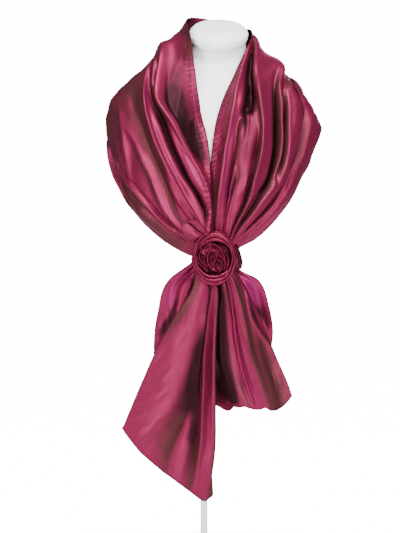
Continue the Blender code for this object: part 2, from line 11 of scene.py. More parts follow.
import bpy
import numpy as np
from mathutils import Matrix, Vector


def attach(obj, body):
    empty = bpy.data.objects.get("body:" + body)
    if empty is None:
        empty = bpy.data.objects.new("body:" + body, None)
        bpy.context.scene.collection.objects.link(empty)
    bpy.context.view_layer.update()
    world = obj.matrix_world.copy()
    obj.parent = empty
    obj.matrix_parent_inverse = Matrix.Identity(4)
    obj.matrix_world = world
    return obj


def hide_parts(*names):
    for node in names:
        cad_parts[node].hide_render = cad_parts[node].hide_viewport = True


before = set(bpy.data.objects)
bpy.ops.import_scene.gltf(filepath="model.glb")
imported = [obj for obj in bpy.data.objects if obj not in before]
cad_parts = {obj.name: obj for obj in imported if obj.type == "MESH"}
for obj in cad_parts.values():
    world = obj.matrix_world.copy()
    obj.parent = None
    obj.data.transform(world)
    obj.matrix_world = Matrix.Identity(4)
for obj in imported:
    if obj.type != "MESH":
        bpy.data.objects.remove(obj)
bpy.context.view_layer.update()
MM = 0.001
# Table points are measured from the middle of the neck, the part from the stand's foot.
NECK_OFFSET = 26.0

# %% [markdown]
# ## Camera
# The photograph looks straight at the chest from about five metres, with the lens level: the
# neck cap shows neither its top nor its underside. A long lens keeps the cloth from spreading.

# %% Camera
CAMERA_PLACE = (-0.008, -5.0, 0.571)
LENS_MM = 168.9

camera_data = bpy.data.cameras.new("photo_camera")
camera_data.lens = LENS_MM
camera_data.sensor_width = 36.0
camera = bpy.data.objects.new("photo_camera", camera_data)
camera.location = CAMERA_PLACE
camera.rotation_euler = (math.radians(90), 0, 0)
bpy.context.scene.collection.objects.link(camera)
bpy.context.scene.camera = camera
print("camera at", CAMERA_PLACE, "lens", LENS_MM, "mm")

# %% [markdown]
# ## Studio
# Taffeta shows its folds by what it mirrors, so the lamps are large soft panels. The main one
# stands to the viewer's right: it leaves the flanks that face left dark and brown, as in the
# photograph. The floor is a plain pale sheet, and the room behind it is white to the camera only.

# %% Lamps and room
LAMPS = (
    # name, place, target, width, height, power in watts
    ("main panel", (1.15, -3.1, 1.75), (0.0, 0.0, 0.72), 1.2, 1.8, 178.0),
    ("left panel", (-2.3, -1.7, 1.2), (0.0, 0.0, 0.6), 0.6, 1.7, 80.0),
    ("top panel", (0.1, -0.9, 2.7), (0.0, 0.0, 0.9), 1.2, 0.9, 90.0),
    ("back panel", (0.6, 2.8, 1.8), (0.0, 0.0, 0.7), 1.6, 1.4, 70.0),
)
ROOM_FILL = 0.3
ROOM_SEEN = 16.0


def add_lamp(name, place, target, width, height, power):
    data = bpy.data.lights.new(name, "AREA")
    data.shape = "RECTANGLE"
    data.size, data.size_y = width, height
    data.energy = power
    lamp = bpy.data.objects.new(name, data)
    lamp.location = place
    lamp.rotation_euler = (Vector(target) - Vector(place)).to_track_quat("-Z", "Y").to_euler()
    bpy.context.scene.collection.objects.link(lamp)


for row in LAMPS:
    add_lamp(*row)

world = bpy.data.worlds.new("studio")
bpy.context.scene.world = world
world.use_nodes = True
room = world.node_tree
background = room.nodes["Background"]
background.inputs["Color"].default_value = (1.0, 0.99, 0.985, 1.0)
light_path = room.nodes.new("ShaderNodeLightPath")
strength = room.nodes.new("ShaderNodeMapRange")
strength.inputs["To Min"].default_value = ROOM_FILL
strength.inputs["To Max"].default_value = ROOM_SEEN
room.links.new(light_path.outputs["Is Camera Ray"], strength.inputs["Value"])
room.links.new(strength.outputs["Result"], background.inputs["Strength"])
print("lamps:", len(LAMPS))

# %% [markdown]
# ## Shared effects
# Four effects serve more than one material, so each is a node group. The weave gives a fine
# plain weave with thicker slub threads, which taffeta always has. The puckered hem gives the small
# gathers beside a seam. The shot colour mixes the two threads and paints light and shade into the
# colour: the crimson weft where the cloth faces the lamps, a painted magenta highlight on the flanks
# turned furthest to them, the brown warp as painted shade on flanks turned away, and a dark painted
# shade in the troughs and along the hems. The grain is for moulded and painted skins.

# %% Node group helpers
def new_group(name, inputs, outputs):
    """An empty shader node group with float or colour inputs and outputs."""
    group = bpy.data.node_groups.new(name, "ShaderNodeTree")
    for label, kind, value in inputs:
        socket = group.interface.new_socket(label, in_out="INPUT", socket_type=kind)
        if value is not None:
            socket.default_value = value
    for label, kind in outputs:
        group.interface.new_socket(label, in_out="OUTPUT", socket_type=kind)
    way_in = group.nodes.new("NodeGroupInput")
    way_out = group.nodes.new("NodeGroupOutput")
    return group, way_in, way_out


def math_node(tree, operation, first, second=None, clamp=False):
    node = tree.nodes.new("ShaderNodeMath")
    node.operation = operation
    node.use_clamp = clamp
    for socket, value in zip(node.inputs, (first, second)):
        if value is None:
            continue
        if isinstance(value, (int, float)):
            socket.default_value = value
        else:
            tree.links.new(value, socket)
    return node.outputs[0]


def ramp_between(tree, value, low, high):
    """0 below low, 1 above high, with a soft step between."""
    node = tree.nodes.new("ShaderNodeMapRange")
    node.interpolation_type = "SMOOTHSTEP"
    node.inputs["From Min"].default_value = low
    node.inputs["From Max"].default_value = high
    tree.links.new(value, node.inputs["Value"])
    return node.outputs["Result"]


def blend_colours(tree, share, first, second):
    node = tree.nodes.new("ShaderNodeMix")
    node.data_type = "RGBA"
    tree.links.new(share, node.inputs[0])
    for socket, value in ((node.inputs[6], first), (node.inputs[7], second)):
        if isinstance(value, tuple):
            socket.default_value = value
        else:
            tree.links.new(value, socket)
    return node.outputs[2]


def noise_at(tree, place, stretch, detail=2.0):
    """Noise over a place, with its own number of waves per metre in each direction."""
    scaled = tree.nodes.new("ShaderNodeVectorMath")
    scaled.operation = "MULTIPLY"
    scaled.inputs[1].default_value = stretch
    tree.links.new(place, scaled.inputs[0])
    noise = tree.nodes.new("ShaderNodeTexNoise")
    noise.inputs["Scale"].default_value = 1.0
    noise.inputs["Detail"].default_value = detail
    tree.links.new(scaled.outputs["Vector"], noise.inputs["Vector"])
    return noise.outputs["Fac"]


# %% Group: taffeta weave
THREADS_PER_METRE = 2600.0


def weave_group():
    group, way_in, way_out = new_group(
        "Taffeta weave",
        [("Place", "NodeSocketVector", None), ("Slub", "NodeSocketFloat", 0.5)],
        [("Height", "NodeSocketFloat"), ("Slubs", "NodeSocketFloat")],
    )
    place = way_in.outputs["Place"]
    split = group.nodes.new("ShaderNodeSeparateXYZ")
    group.links.new(place, split.inputs[0])
    turn = THREADS_PER_METRE * math.pi
    warp = math_node(group, "SINE", math_node(group, "MULTIPLY", split.outputs["X"], turn))
    weft = math_node(group, "SINE", math_node(group, "MULTIPLY", split.outputs["Y"], turn))
    threads = math_node(group, "MULTIPLY", warp, weft)
    slubs = noise_at(group, place, (1500.0, 45.0, 1.0), 3.0)
    crossing = noise_at(group, place, (60.0, 1100.0, 1.0), 2.0)
    mask = math_node(group, "ADD", math_node(group, "MULTIPLY", slubs, 0.6), math_node(group, "MULTIPLY", crossing, 0.4))
    raised = math_node(group, "MULTIPLY", math_node(group, "SUBTRACT", mask, 0.5), way_in.outputs["Slub"])
    height = math_node(group, "ADD", math_node(group, "MULTIPLY", threads, 0.25), raised)
    group.links.new(height, way_out.inputs["Height"])
    group.links.new(mask, way_out.inputs["Slubs"])
    return group


WEAVE = weave_group()

# %% Group: puckered hem
HEM_TURNS_PER_METRE = 88.0


def pucker_group():
    """Small gathers that the seam draws into a narrow hem, and the seam's own groove."""
    group, way_in, way_out = new_group(
        "Puckered hem",
        [("Place", "NodeSocketVector", None), ("Inwards", "NodeSocketFloat", 100.0)],
        [("Height", "NodeSocketFloat")],
    )
    place = way_in.outputs["Place"]
    inwards = way_in.outputs["Inwards"]
    split = group.nodes.new("ShaderNodeSeparateXYZ")
    group.links.new(place, split.inputs[0])
    wander = math_node(group, "MULTIPLY", noise_at(group, place, (40.0, 55.0, 1.0)), 9.0)
    turn = math_node(group, "MULTIPLY", split.outputs["Y"], HEM_TURNS_PER_METRE * 2 * math.pi)
    wave = math_node(group, "SINE", math_node(group, "ADD", turn, wander))
    rising = ramp_between(group, inwards, 1.0, 7.0)
    falling = math_node(group, "SUBTRACT", 1.0, ramp_between(group, inwards, 12.0, 24.0))
    gathers = math_node(group, "MULTIPLY", wave, math_node(group, "MULTIPLY", rising, falling))
    seam = math_node(group, "ABSOLUTE", math_node(group, "SUBTRACT", inwards, 13.0))
    groove = math_node(group, "SUBTRACT", ramp_between(group, seam, 0.2, 1.8), 1.0)
    height = math_node(group, "ADD", gathers, math_node(group, "MULTIPLY", groove, 1.2))
    group.links.new(height, way_out.inputs["Height"])
    return group


PUCKERS = pucker_group()

# %% Group: shot colour and painted light
def shot_and_painted_light_group():
    group, way_in, way_out = new_group(
        "Shot colour and painted light",
        [
            ("Turned", "NodeSocketFloat", 0.0),
            ("Fold", "NodeSocketFloat", 0.0),
            ("Edge", "NodeSocketFloat", 0.0),
            ("Slubs", "NodeSocketFloat", 0.5),
            ("Glance", "NodeSocketColor", None),
            ("Weft", "NodeSocketColor", None),
            ("Warp", "NodeSocketColor", None),
            ("Painted shade", "NodeSocketColor", None),
        ],
        [("Colour", "NodeSocketColor"), ("Away", "NodeSocketFloat")],
    )
    uneven = math_node(group, "MULTIPLY", math_node(group, "SUBTRACT", way_in.outputs["Slubs"], 0.5), 0.5)
    # Turned is how far a flank faces away from the lamps' side: the glance is painted where it faces them, the brown
    # warp as shade where it faces away.
    away = math_node(group, "ADD", way_in.outputs["Turned"], uneven)
    towards = ramp_between(group, math_node(group, "MULTIPLY", away, -1.0), 0.45, 1.15)
    away = ramp_between(group, away, 0.02, 0.72)
    # The fold share paints dark shade into the troughs, the edge share along the hems.
    low = ramp_between(group, math_node(group, "MULTIPLY", way_in.outputs["Fold"], -1.0), 0.15, 1.0)
    lit = blend_colours(group, towards, way_in.outputs["Weft"], way_in.outputs["Glance"])
    thread = blend_colours(group, away, lit, way_in.outputs["Warp"])
    colour = blend_colours(group, low, thread, way_in.outputs["Painted shade"])
    hemmed = math_node(group, "MULTIPLY", way_in.outputs["Edge"], 0.75)
    colour = blend_colours(group, hemmed, colour, way_in.outputs["Painted shade"])
    group.links.new(colour, way_out.inputs["Colour"])
    group.links.new(away, way_out.inputs["Away"])
    return group


SHOT_AND_PAINTED_LIGHT = shot_and_painted_light_group()

# %% Group: fine grain
def grain_group():
    group, way_in, way_out = new_group(
        "Fine grain",
        [("Waves", "NodeSocketFloat", 900.0)],
        [("Height", "NodeSocketFloat"), ("Cloud", "NodeSocketFloat")],
    )
    place = group.nodes.new("ShaderNodeTexCoord").outputs["Object"]
    fine = group.nodes.new("ShaderNodeTexNoise")
    fine.inputs["Detail"].default_value = 3.0
    group.links.new(way_in.outputs["Waves"], fine.inputs["Scale"])
    group.links.new(place, fine.inputs["Vector"])
    cloud = noise_at(group, place, (9.0, 9.0, 9.0), 3.0)
    group.links.new(fine.outputs["Fac"], way_out.inputs["Height"])
    group.links.new(cloud, way_out.inputs["Cloud"])
    return group


GRAIN = grain_group()
print("node groups:", [group.name for group in (WEAVE, PUCKERS, SHOT_AND_PAINTED_LIGHT, GRAIN)])

# %% [markdown]
# ## Materials
# Taffeta is a smooth plain weave of lustrous threads. Its highlights keep the thread's own
# colour, so part of the surface answers like coloured metal. The rose is cut from the same cloth
# but is handled and crushed, so it is duller and redder.

# %% Cloth materials
def placed_group(tree, group):
    node = tree.nodes.new("ShaderNodeGroup")
    node.node_tree = group
    return node


def read_attribute(tree, name, output):
    node = tree.nodes.new("ShaderNodeAttribute")
    node.attribute_name = name
    return node.outputs[output]


# How much higher the hem's puckers stand than the threads.
PUCKER_SHARE = 4.0


def taffeta(name, glance, weft, warp, deep, metallic, roughness, slub):
    made = bpy.data.materials.new(name)
    made.use_nodes = True
    tree = made.node_tree
    shader = tree.nodes["Principled BSDF"]
    weave = placed_group(tree, WEAVE)
    weave.inputs["Slub"].default_value = slub
    tree.links.new(read_attribute(tree, "cloth_place", "Vector"), weave.inputs["Place"])
    shot = placed_group(tree, SHOT_AND_PAINTED_LIGHT)
    tree.links.new(read_attribute(tree, "turned", "Fac"), shot.inputs["Turned"])
    tree.links.new(read_attribute(tree, "fold", "Fac"), shot.inputs["Fold"])
    tree.links.new(read_attribute(tree, "edge", "Fac"), shot.inputs["Edge"])
    tree.links.new(weave.outputs["Slubs"], shot.inputs["Slubs"])
    shot.inputs["Glance"].default_value = glance
    shot.inputs["Weft"].default_value = weft
    shot.inputs["Warp"].default_value = warp
    shot.inputs["Painted shade"].default_value = deep
    tree.links.new(shot.outputs["Colour"], shader.inputs["Base Color"])
    gloss = math_node(tree, "MULTIPLY", math_node(tree, "SUBTRACT", weave.outputs["Slubs"], 0.5), 0.25)
    tree.links.new(math_node(tree, "ADD", gloss, roughness), shader.inputs["Roughness"])
    hem = placed_group(tree, PUCKERS)
    tree.links.new(read_attribute(tree, "cloth_place", "Vector"), hem.inputs["Place"])
    tree.links.new(read_attribute(tree, "inwards", "Fac"), hem.inputs["Inwards"])
    puckers = math_node(tree, "MULTIPLY", hem.outputs["Height"], PUCKER_SHARE)
    relief = math_node(tree, "ADD", weave.outputs["Height"], puckers)
    bump = tree.nodes.new("ShaderNodeBump")
    bump.inputs["Strength"].default_value = 0.35
    bump.inputs["Distance"].default_value = 0.0003
    tree.links.new(relief, bump.inputs["Height"])
    tree.links.new(bump.outputs["Normal"], shader.inputs["Normal"])
    shader.inputs["Metallic"].default_value = metallic
    shader.inputs["Specular IOR Level"].default_value = 0.2
    shader.inputs["Specular Tint"].default_value = (1.0, 0.28, 0.55, 1.0)
    return made


# Colours: the painted highlight (glance), the weft, the warp painted as shade on flanks turned away, and the dark
# painted shade of troughs and hems.
TAFFETA = taffeta("shot_taffeta", (0.192, 0.0125, 0.072, 1.0), (0.157, 0.0125, 0.0415, 1.0),
                  (0.070, 0.019, 0.022, 1.0), (0.014, 0.004, 0.005, 1.0), 0.62, 0.41, 0.6)
ROSE_TAFFETA = taffeta("rose_taffeta", (0.180, 0.013, 0.048, 1.0), (0.150, 0.012, 0.036, 1.0),
                       (0.055, 0.010, 0.016, 1.0), (0.010, 0.002, 0.004, 1.0), 0.75, 0.36, 0.8)

# %% Thread, form and stand materials
def plain_finish(name, colour, shade, roughness, waves, depth, coat=0.0):
    """A moulded or painted skin: fine grain in the gloss and bump, a faint cloud in the colour."""
    made = bpy.data.materials.new(name)
    made.use_nodes = True
    tree = made.node_tree
    shader = tree.nodes["Principled BSDF"]
    grain = placed_group(tree, GRAIN)
    grain.inputs["Waves"].default_value = waves
    share = ramp_between(tree, grain.outputs["Cloud"], 0.35, 0.75)
    tree.links.new(blend_colours(tree, share, colour, shade), shader.inputs["Base Color"])
    gloss = math_node(tree, "MULTIPLY", math_node(tree, "SUBTRACT", grain.outputs["Height"], 0.5), 0.2)
    tree.links.new(math_node(tree, "ADD", gloss, roughness), shader.inputs["Roughness"])
    bump = tree.nodes.new("ShaderNodeBump")
    bump.inputs["Strength"].default_value = 0.3
    bump.inputs["Distance"].default_value = depth
    tree.links.new(grain.outputs["Height"], bump.inputs["Height"])
    tree.links.new(bump.outputs["Normal"], shader.inputs["Normal"])
    shader.inputs["Coat Weight"].default_value = coat
    return made


THREAD = plain_finish("sewing_thread", (0.20, 0.02, 0.06, 1.0), (0.14, 0.015, 0.04, 1.0), 0.5, 2500.0, 0.0001)
FORM_SKIN = plain_finish("form_skin", (0.88, 0.86, 0.86, 1.0), (0.84, 0.815, 0.81, 1.0), 0.5, 1400.0, 0.00015)
STAND_PAINT = plain_finish("stand_paint", (0.84, 0.83, 0.82, 1.0), (0.80, 0.79, 0.78, 1.0), 0.32, 700.0, 0.0001, 0.25)
print("materials:", [one.name for one in (TAFFETA, ROSE_TAFFETA, THREAD, FORM_SKIN, STAND_PAINT)])

# %% [markdown]
# ## How the cloth is shaped
# A cloth simulation settles into its own folds, not into those of a photograph. So the stole is
# draped as a display maker dresses a form: sections across the cloth give its broad
# shape, and each fold is laid over it along a run of stations. A fold has a steep and a gentle
# side and can lean, because real pleats fall over to one side. Stations are counted from 0 in the
# section table, and 2.5 lies half way from station 2 to station 3.

# %% Smooth curves through table rows
def smooth_through(knots, rows, at):
    """A smooth curve through rows that stand at knots, read at each value of at."""
    knots = np.asarray(knots, float)
    rows = np.asarray(rows, float)
    at = np.clip(np.asarray(at, float), knots[0], knots[-1])
    steps = np.diff(knots)
    spread = (-1,) + (1,) * (rows.ndim - 1)
    slopes = np.diff(rows, axis=0) / steps.reshape(spread)
    turn = np.empty_like(rows)
    turn[0], turn[-1] = slopes[0], slopes[-1]
    before, after = steps[:-1].reshape(spread), steps[1:].reshape(spread)
    turn[1:-1] = (after * slopes[:-1] + before * slopes[1:]) / (before + after)
    index = np.clip(np.searchsorted(knots, at, side="right") - 1, 0, len(steps) - 1)
    gap = steps[index].reshape(spread)
    t = ((at - knots[index]) / steps[index]).reshape(spread)
    start, end = rows[index], rows[index + 1]
    return (
        start * (2 * t**3 - 3 * t**2 + 1)
        + turn[index] * gap * (t**3 - 2 * t**2 + t)
        + end * (3 * t**2 - 2 * t**3)
        + turn[index + 1] * gap * (t**3 - t**2)
    )


def eased_through(knots, values, at):
    """Values at knots joined by soft steps that never overshoot."""
    index = np.clip(np.searchsorted(knots, at, side="right") - 1, 0, len(knots) - 2)
    start = np.asarray(knots, float)[index]
    end = np.asarray(knots, float)[index + 1]
    t = np.clip((at - start) / (end - start), 0, 1)
    t = t * t * (3 - 2 * t)
    values = np.asarray(values, float)
    return values[index] * (1 - t) + values[index + 1] * t


def unit(vectors):
    return vectors / np.maximum(np.linalg.norm(vectors, axis=-1, keepdims=True), 1e-9)


def grid_normals(points):
    return unit(np.cross(np.gradient(points, axis=0), np.gradient(points, axis=1)))


# %% Folds laid over a section table
FADE = 0.45


def fold_relief(folds, places, along, across):
    """Height of every point over the base cloth, and how far it is pushed sideways."""
    height = np.zeros((len(along), len(across)))
    drift = np.zeros_like(height)
    for _, inner, outer, lean, fullness, run in folds:
        stations = [run[0][0] - FADE] + [row[0] for row in run] + [run[-1][0] + FADE]
        knots = np.interp(stations, range(-1, len(places) + 1), [-0.1] + list(places) + [1.1])
        middle = [run[0][1]] + [row[1] for row in run] + [run[-1][1]]
        tall = [0] + [row[2] for row in run] + [0]
        centre = smooth_through(knots, middle, along)
        rise = eased_through(knots, tall, along)
        rise = np.where((along < knots[0]) | (along > knots[-1]), 0, rise)[:, None]
        offset = across[None, :] - centre[:, None]
        shape = np.exp(-(np.abs(offset / np.where(offset < 0, inner, outer)) ** fullness))
        height += rise * shape
        drift += np.abs(rise) * lean * shape
    return height, drift


def ripples(down, over):
    """A slow unevenness of hanging cloth, in millimetres, from waves of unlike lengths."""
    waves = (
        # length down the cloth, length across it, shift, height
        (190.0, 71.0, 0.4, 0.55),
        (83.0, 127.0, 1.9, 0.45),
        (57.0, -46.0, 4.1, 0.30),
        (131.0, -39.0, 2.7, 0.25),
        (34.0, 90.0, 5.2, 0.16),
    )
    total = np.zeros_like(down)
    for length_down, length_over, shift, tall in waves:
        total += tall * np.sin(2 * math.pi * (down / length_down + over / length_over) + shift)
    return total


def crease_relief(creases, down, over, to_down, to_over):
    """Short sharp creases, each from one (station, place) to another."""
    total = np.zeros_like(down)
    for start, end, width, tall in creases:
        a = np.array([to_down(*start), to_over(*start)])
        b = np.array([to_down(*end), to_over(*end)])
        run = b - a
        length = max(float(np.hypot(*run)), 1e-6)
        share = ((down - a[0]) * run[0] + (over - a[1]) * run[1]) / length**2
        side = np.abs((down - a[0]) * run[1] - (over - a[1]) * run[0]) / length
        taper = np.clip(1 - (2 * share - 1) ** 2, 0, None) ** 0.5
        total += tall * taper * np.exp(-((side / width) ** 1.6))
    return total


# %% [markdown]
# ## From points to cloth
# Each stretch of cloth is a fine grid with a thin wall. The grid also carries what the material
# needs to paint light and shade into the colour: its place on the flat cloth for the weave, how
# deep in a fold it lies for the painted shade of the troughs, and how far it is turned away from
# the side that the light comes from, which paints the highlights and the shaded flanks.

# %% Cloth helpers
CLOTH_THICKNESS = 0.9


def in_metres(points):
    return (np.asarray(points, float) + (NECK_OFFSET, 0.0, 0.0)) * MM


def new_piece(name, mesh, *materials):
    made = bpy.data.objects.new(name, mesh)
    bpy.context.scene.collection.objects.link(made)
    for one in materials:
        mesh.materials.append(one)
    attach(made, "root")
    return made


def grid_mesh(name, points, closed=False):
    rows, columns = points.shape[:2]
    around = columns if closed else columns - 1
    first = np.arange(rows - 1)[:, None] * columns + np.arange(around)[None, :]
    beside = np.arange(rows - 1)[:, None] * columns + (np.arange(around)[None, :] + 1) % columns
    faces = np.stack([first, beside, beside + columns, first + columns], axis=-1).reshape(-1, 4)
    mesh = bpy.data.meshes.new(name)
    mesh.from_pydata(in_metres(points.reshape(-1, 3)).tolist(), [], faces.tolist())
    mesh.shade_smooth()
    mesh.update()
    return mesh


def keep_attribute(mesh, name, values):
    kind = "FLOAT_VECTOR" if values.ndim == 3 else "FLOAT"
    made = mesh.attributes.new(name, kind, "POINT")
    field = "vector" if values.ndim == 3 else "value"
    made.data.foreach_set(field, np.ascontiguousarray(values, dtype=np.float32).reshape(-1))


def flat_places(points):
    """Millimetres down and over the cloth for every grid point."""
    down = np.zeros(points.shape[:2])
    over = np.zeros(points.shape[:2])
    down[1:] = np.cumsum(np.linalg.norm(np.diff(points, axis=0), axis=2), axis=0)
    over[:, 1:] = np.cumsum(np.linalg.norm(np.diff(points, axis=1), axis=2), axis=1)
    return down, over


# Width of the dark painted shade along the cloth's edges, in millimetres.
EDGE_BAND = 3.2
FAR_FROM_A_HEM = 100.0


def inwards_of_hem(down, over, hemmed_end):
    """Millimetres in from the cloth's long edges, and from its far end where that is hemmed."""
    nearest = np.minimum(over, over[:, -1:] - over)
    if hemmed_end:
        nearest = np.minimum(nearest, down[-1:] - down)
    return nearest


def dress(name, points, base, height, material, facing, thickness=CLOTH_THICKNESS, closed=False,
          puckered=False, hemmed_end=False, painted_light=0.0, shade=0.0):
    """Turn a grid of points into a thin walled piece that carries its hints for painted light and shade."""
    mesh = grid_mesh(name, points, closed)
    normals = grid_normals(points) * facing
    calm = grid_normals(base) * facing
    # Painted light: the side turned from the lamps takes the brown shade, the side turned to them the magenta
    # highlight.
    turned = -(normals[..., 0] - 0.3 * calm[..., 0]) + painted_light
    down, over = flat_places(base)
    keep_attribute(mesh, "turned", turned)
    # Fold depth less the painted shade sets how much of the dark trough colour is painted in.
    keep_attribute(mesh, "fold", np.clip(height / 14.0 - shade, -1, 1))
    inwards = inwards_of_hem(down, over, hemmed_end) + (FAR_FROM_A_HEM if closed else 0.0)
    keep_attribute(mesh, "edge", np.clip(1 - inwards / EDGE_BAND, 0, 1))
    keep_attribute(mesh, "inwards", over if puckered else over + FAR_FROM_A_HEM)
    keep_attribute(mesh, "cloth_place", np.stack([over * MM, down * MM, np.zeros_like(over)], axis=-1))
    piece = new_piece(name, mesh, material)
    wall = piece.modifiers.new("wall", "SOLIDIFY")
    wall.thickness = thickness * MM
    wall.offset = 0.0
    return piece


def area_of(points):
    """The grid's area in square metres."""
    along = points[1:, :-1] - points[:-1, :-1]
    across = points[:-1, 1:] - points[:-1, :-1]
    return float(np.linalg.norm(np.cross(along, across), axis=2).sum()) * MM * MM


# %% [markdown]
# ## The shoulder drape
# This is the long middle of the stole, from the rose over one shoulder, round the neck and back.
# Its sections are the solid's own; the folds are those of the photograph, laid one by one, and
# like ones on the back. Near the rose many narrow pleats fan out from the gather.

# %% Sections of the drape
SHAWL_KNOTS = (0.0, 0.2, 0.46, 0.76, 1.0)
# Columns: station, inner edge at the neck, upper, middle, lower, outer edge, in millimetres.
SHAWL_SECTIONS = (
    ("left ring", (-7, -124, 590), (-16, -142, 590), (-29, -143, 590), (-40, -132, 590), (-44, -116, 590)),
    ("left mouth", (-7, -126, 608), (-16, -142, 608), (-29, -143, 606), (-42, -132, 599), (-53, -113, 592)),
    ("left rose top", (-8, -131, 638), (-20, -146, 638), (-40, -147, 633), (-65, -134, 622), (-87, -106, 609)),
    ("left breast", (-11, -132, 708), (-46, -150, 704), (-88, -144, 692), (-132, -112, 674), (-156, -66, 668)),
    ("left chest", (-16, -108, 799), (-64, -134, 802), (-120, -124, 788), (-176, -80, 769), (-205, -14, 752)),
    ("left collarbone", (-34, -68.7, 889), (-84, -92, 905), (-144, -80, 896), (-200, -38, 868), (-218, 25, 808)),
    ("left shoulder top", (-53, -22, 1031), (-94, 2, 1017), (-138, 8, 976), (-204, 14, 904), (-214, 55, 800)),
    ("left shoulder back", (-62, 50, 1069), (-90, 68, 1016), (-124, 92, 944), (-174, 96, 858), (-181, 98, 752)),
    ("centre back", (2, 84, 1070), (2, 102, 1000), (0, 126, 920), (0, 146, 802), (0, 142, 672)),
    ("right shoulder back", (50, 58, 1052), (76, 76, 996), (118, 92, 932), (164, 94, 852), (172, 97, 754)),
    ("right shoulder top", (70, 9, 1037), (89, 6, 1008), (133, 10, 967), (180, 12, 901), (197, 56, 808)),
    ("right collarbone", (8, -70, 893), (58, -90, 908), (114, -80, 906), (174, -41, 884), (207, 25, 848)),
    ("right chest", (-9, -104, 809), (36, -132, 807), (91, -124, 798), (147, -80, 781), (177, -14, 775)),
    ("right breast", (-15, -121, 720), (19, -149, 712), (61, -144, 700), (111, -112, 688), (138, -66, 692)),
    ("right rose top", (-12, -121, 638), (11, -145, 638), (28, -146, 636), (52, -134, 629), (71, -108, 622)),
    ("right mouth", (-4, -119, 608), (8, -142, 608), (19, -143, 608), (30, -133, 606), (37, -117, 603)),
    ("right ring", (-1, -124, 590), (9, -142, 590), (20, -143, 590), (28, -133, 590), (31, -118, 590)),
)


def station_places(sections):
    """Each station's share of the way along the cloth."""
    points = np.array([row[1:] for row in sections], float)
    steps = np.linalg.norm(np.diff(points, axis=0), axis=2).mean(axis=1)
    along = np.concatenate([[0], np.cumsum(steps)])
    return along / along[-1]


# %% Folds over the left shoulder
# Columns: name, width on the inner and the outer side as shares of the section, lean to the outer
# side, fullness (1.3 is a sharp crest, 3 a flat one), then the run of (station, place across,
# height in millimetres).
LEFT_FOLDS = (
    ("collar pocket", 0.15, 0.055, 0.0, 2.0, ((3.2, 0.03, -2), (3.5, 0.06, -5), (4, 0.125, -9),
                                              (4.5, 0.18, -12), (5, 0.25, -13), (5.3, 0.235, -9),
                                              (5.6, 0.20, -3))),
    ("collar edge", 0.035, 0.018, 0.35, 1.4, ((3, 0.03, 7), (3.5, 0.09, 9), (4, 0.185, 11),
                                              (4.5, 0.25, 12), (5, 0.34, 12), (5.5, 0.31, 7),
                                              (6, 0.20, 3), (6.5, 0.13, 2))),
    ("shoulder roll", 0.07, 0.10, 0.0, 2.0, ((5.5, 0.30, 4), (5.8, 0.28, 11), (6.2, 0.27, 13),
                                             (6.7, 0.25, 10), (7.2, 0.22, 4))),
    ("side swell", 0.10, 0.12, 0.0, 2.0, ((4.5, 0.90, 3), (5, 0.88, 7), (5.5, 0.86, 8), (6, 0.84, 4))),
    ("thin pleat", 0.018, 0.018, 0.0, 1.5, ((5.0, 0.375, 3), (5.35, 0.385, 5), (5.6, 0.37, 2))),
    ("gap behind the collar", 0.02, 0.022, 0.0, 1.6, ((5.2, 0.35, -5), (5.45, 0.347, -8),
                                                      (5.8, 0.31, -3))),
    ("long black trough", 0.04, 0.028, 0.0, 2.0, ((2, 0.17, -5), (2.5, 0.10, -10), (3, 0.13, -16),
                                                  (3.5, 0.235, -16), (4, 0.31, -15), (4.5, 0.345, -15),
                                                  (5, 0.395, -11), (5.4, 0.415, -5), (5.7, 0.40, -1))),
    ("long pleat", 0.018, 0.065, -0.35, 1.4, ((2, 0.33, 4), (2.5, 0.30, 7), (3, 0.315, 11),
                                              (3.5, 0.365, 13), (4, 0.42, 13), (4.5, 0.445, 13),
                                              (5, 0.455, 11), (5.5, 0.45, 4), (6, 0.42, 2),
                                              (6.5, 0.42, 3), (7, 0.42, 5), (8, 0.44, 6),
                                              (9, 0.40, 5))),
    ("bright tongue", 0.03, 0.02, 0.0, 1.7, ((2.3, 0.39, 4), (2.8, 0.37, 5), (3.3, 0.40, 3))),
    ("brown flank", 0.05, 0.04, 0.0, 2.2, ((2.2, 0.58, -2), (2.6, 0.53, -3), (3, 0.475, -5),
                                           (3.5, 0.46, -7), (4, 0.50, -8), (4.5, 0.52, -7),
                                           (5, 0.56, -5))),
    ("pink stripe", 0.020, 0.032, 0.0, 1.5, ((2, 0.64, 3), (2.5, 0.61, 5), (3, 0.56, 6),
                                             (3.5, 0.545, 7), (4, 0.58, 6), (4.5, 0.63, 5),
                                             (4.8, 0.70, 2))),
    ("shoulder pleat", 0.030, 0.025, 0.0, 1.7, ((3.8, 0.79, 3), (4, 0.76, 4), (4.5, 0.715, 5),
                                                (4.8, 0.70, 3))),
    ("shoulder swell", 0.06, 0.05, 0.0, 2.0, ((5.2, 0.74, 2), (6, 0.76, 3), (7, 0.70, 5))),
    ("low line groove", 0.022, 0.010, 0.0, 1.6, ((2.5, 0.69, -3), (3, 0.675, -5), (3.5, 0.75, -5),
                                                 (3.75, 0.81, -4), (4, 0.86, -3))),
    ("low line", 0.014, 0.02, -0.3, 1.4, ((2, 0.77, 4), (2.5, 0.72, 7), (3, 0.70, 8), (3.5, 0.78, 8),
                                          (3.8, 0.855, 7), (4, 0.90, 5), (4.2, 0.90, 3))),
    ("low trough", 0.02, 0.05, 0.0, 2.0, ((2.5, 0.76, -3), (3, 0.77, -5), (3.5, 0.85, -5),
                                          (3.8, 0.91, -4))),
    ("outer band", 0.06, 0.06, 0.0, 2.0, ((2.5, 0.88, 3), (3, 0.89, 4), (3.5, 0.91, 3), (4, 0.92, 2))),
    ("hem groove", 0.022, 0.018, 0.0, 1.8, ((3.6, 0.965, -3), (4, 0.955, -6), (4.5, 0.94, -6),
                                            (5, 0.92, -3))),
    ("hem strip", 0.016, 0.03, -0.3, 1.5, ((3.6, 0.99, 4), (4, 0.985, 6), (4.5, 0.975, 6),
                                           (4.9, 0.96, 3))),
)

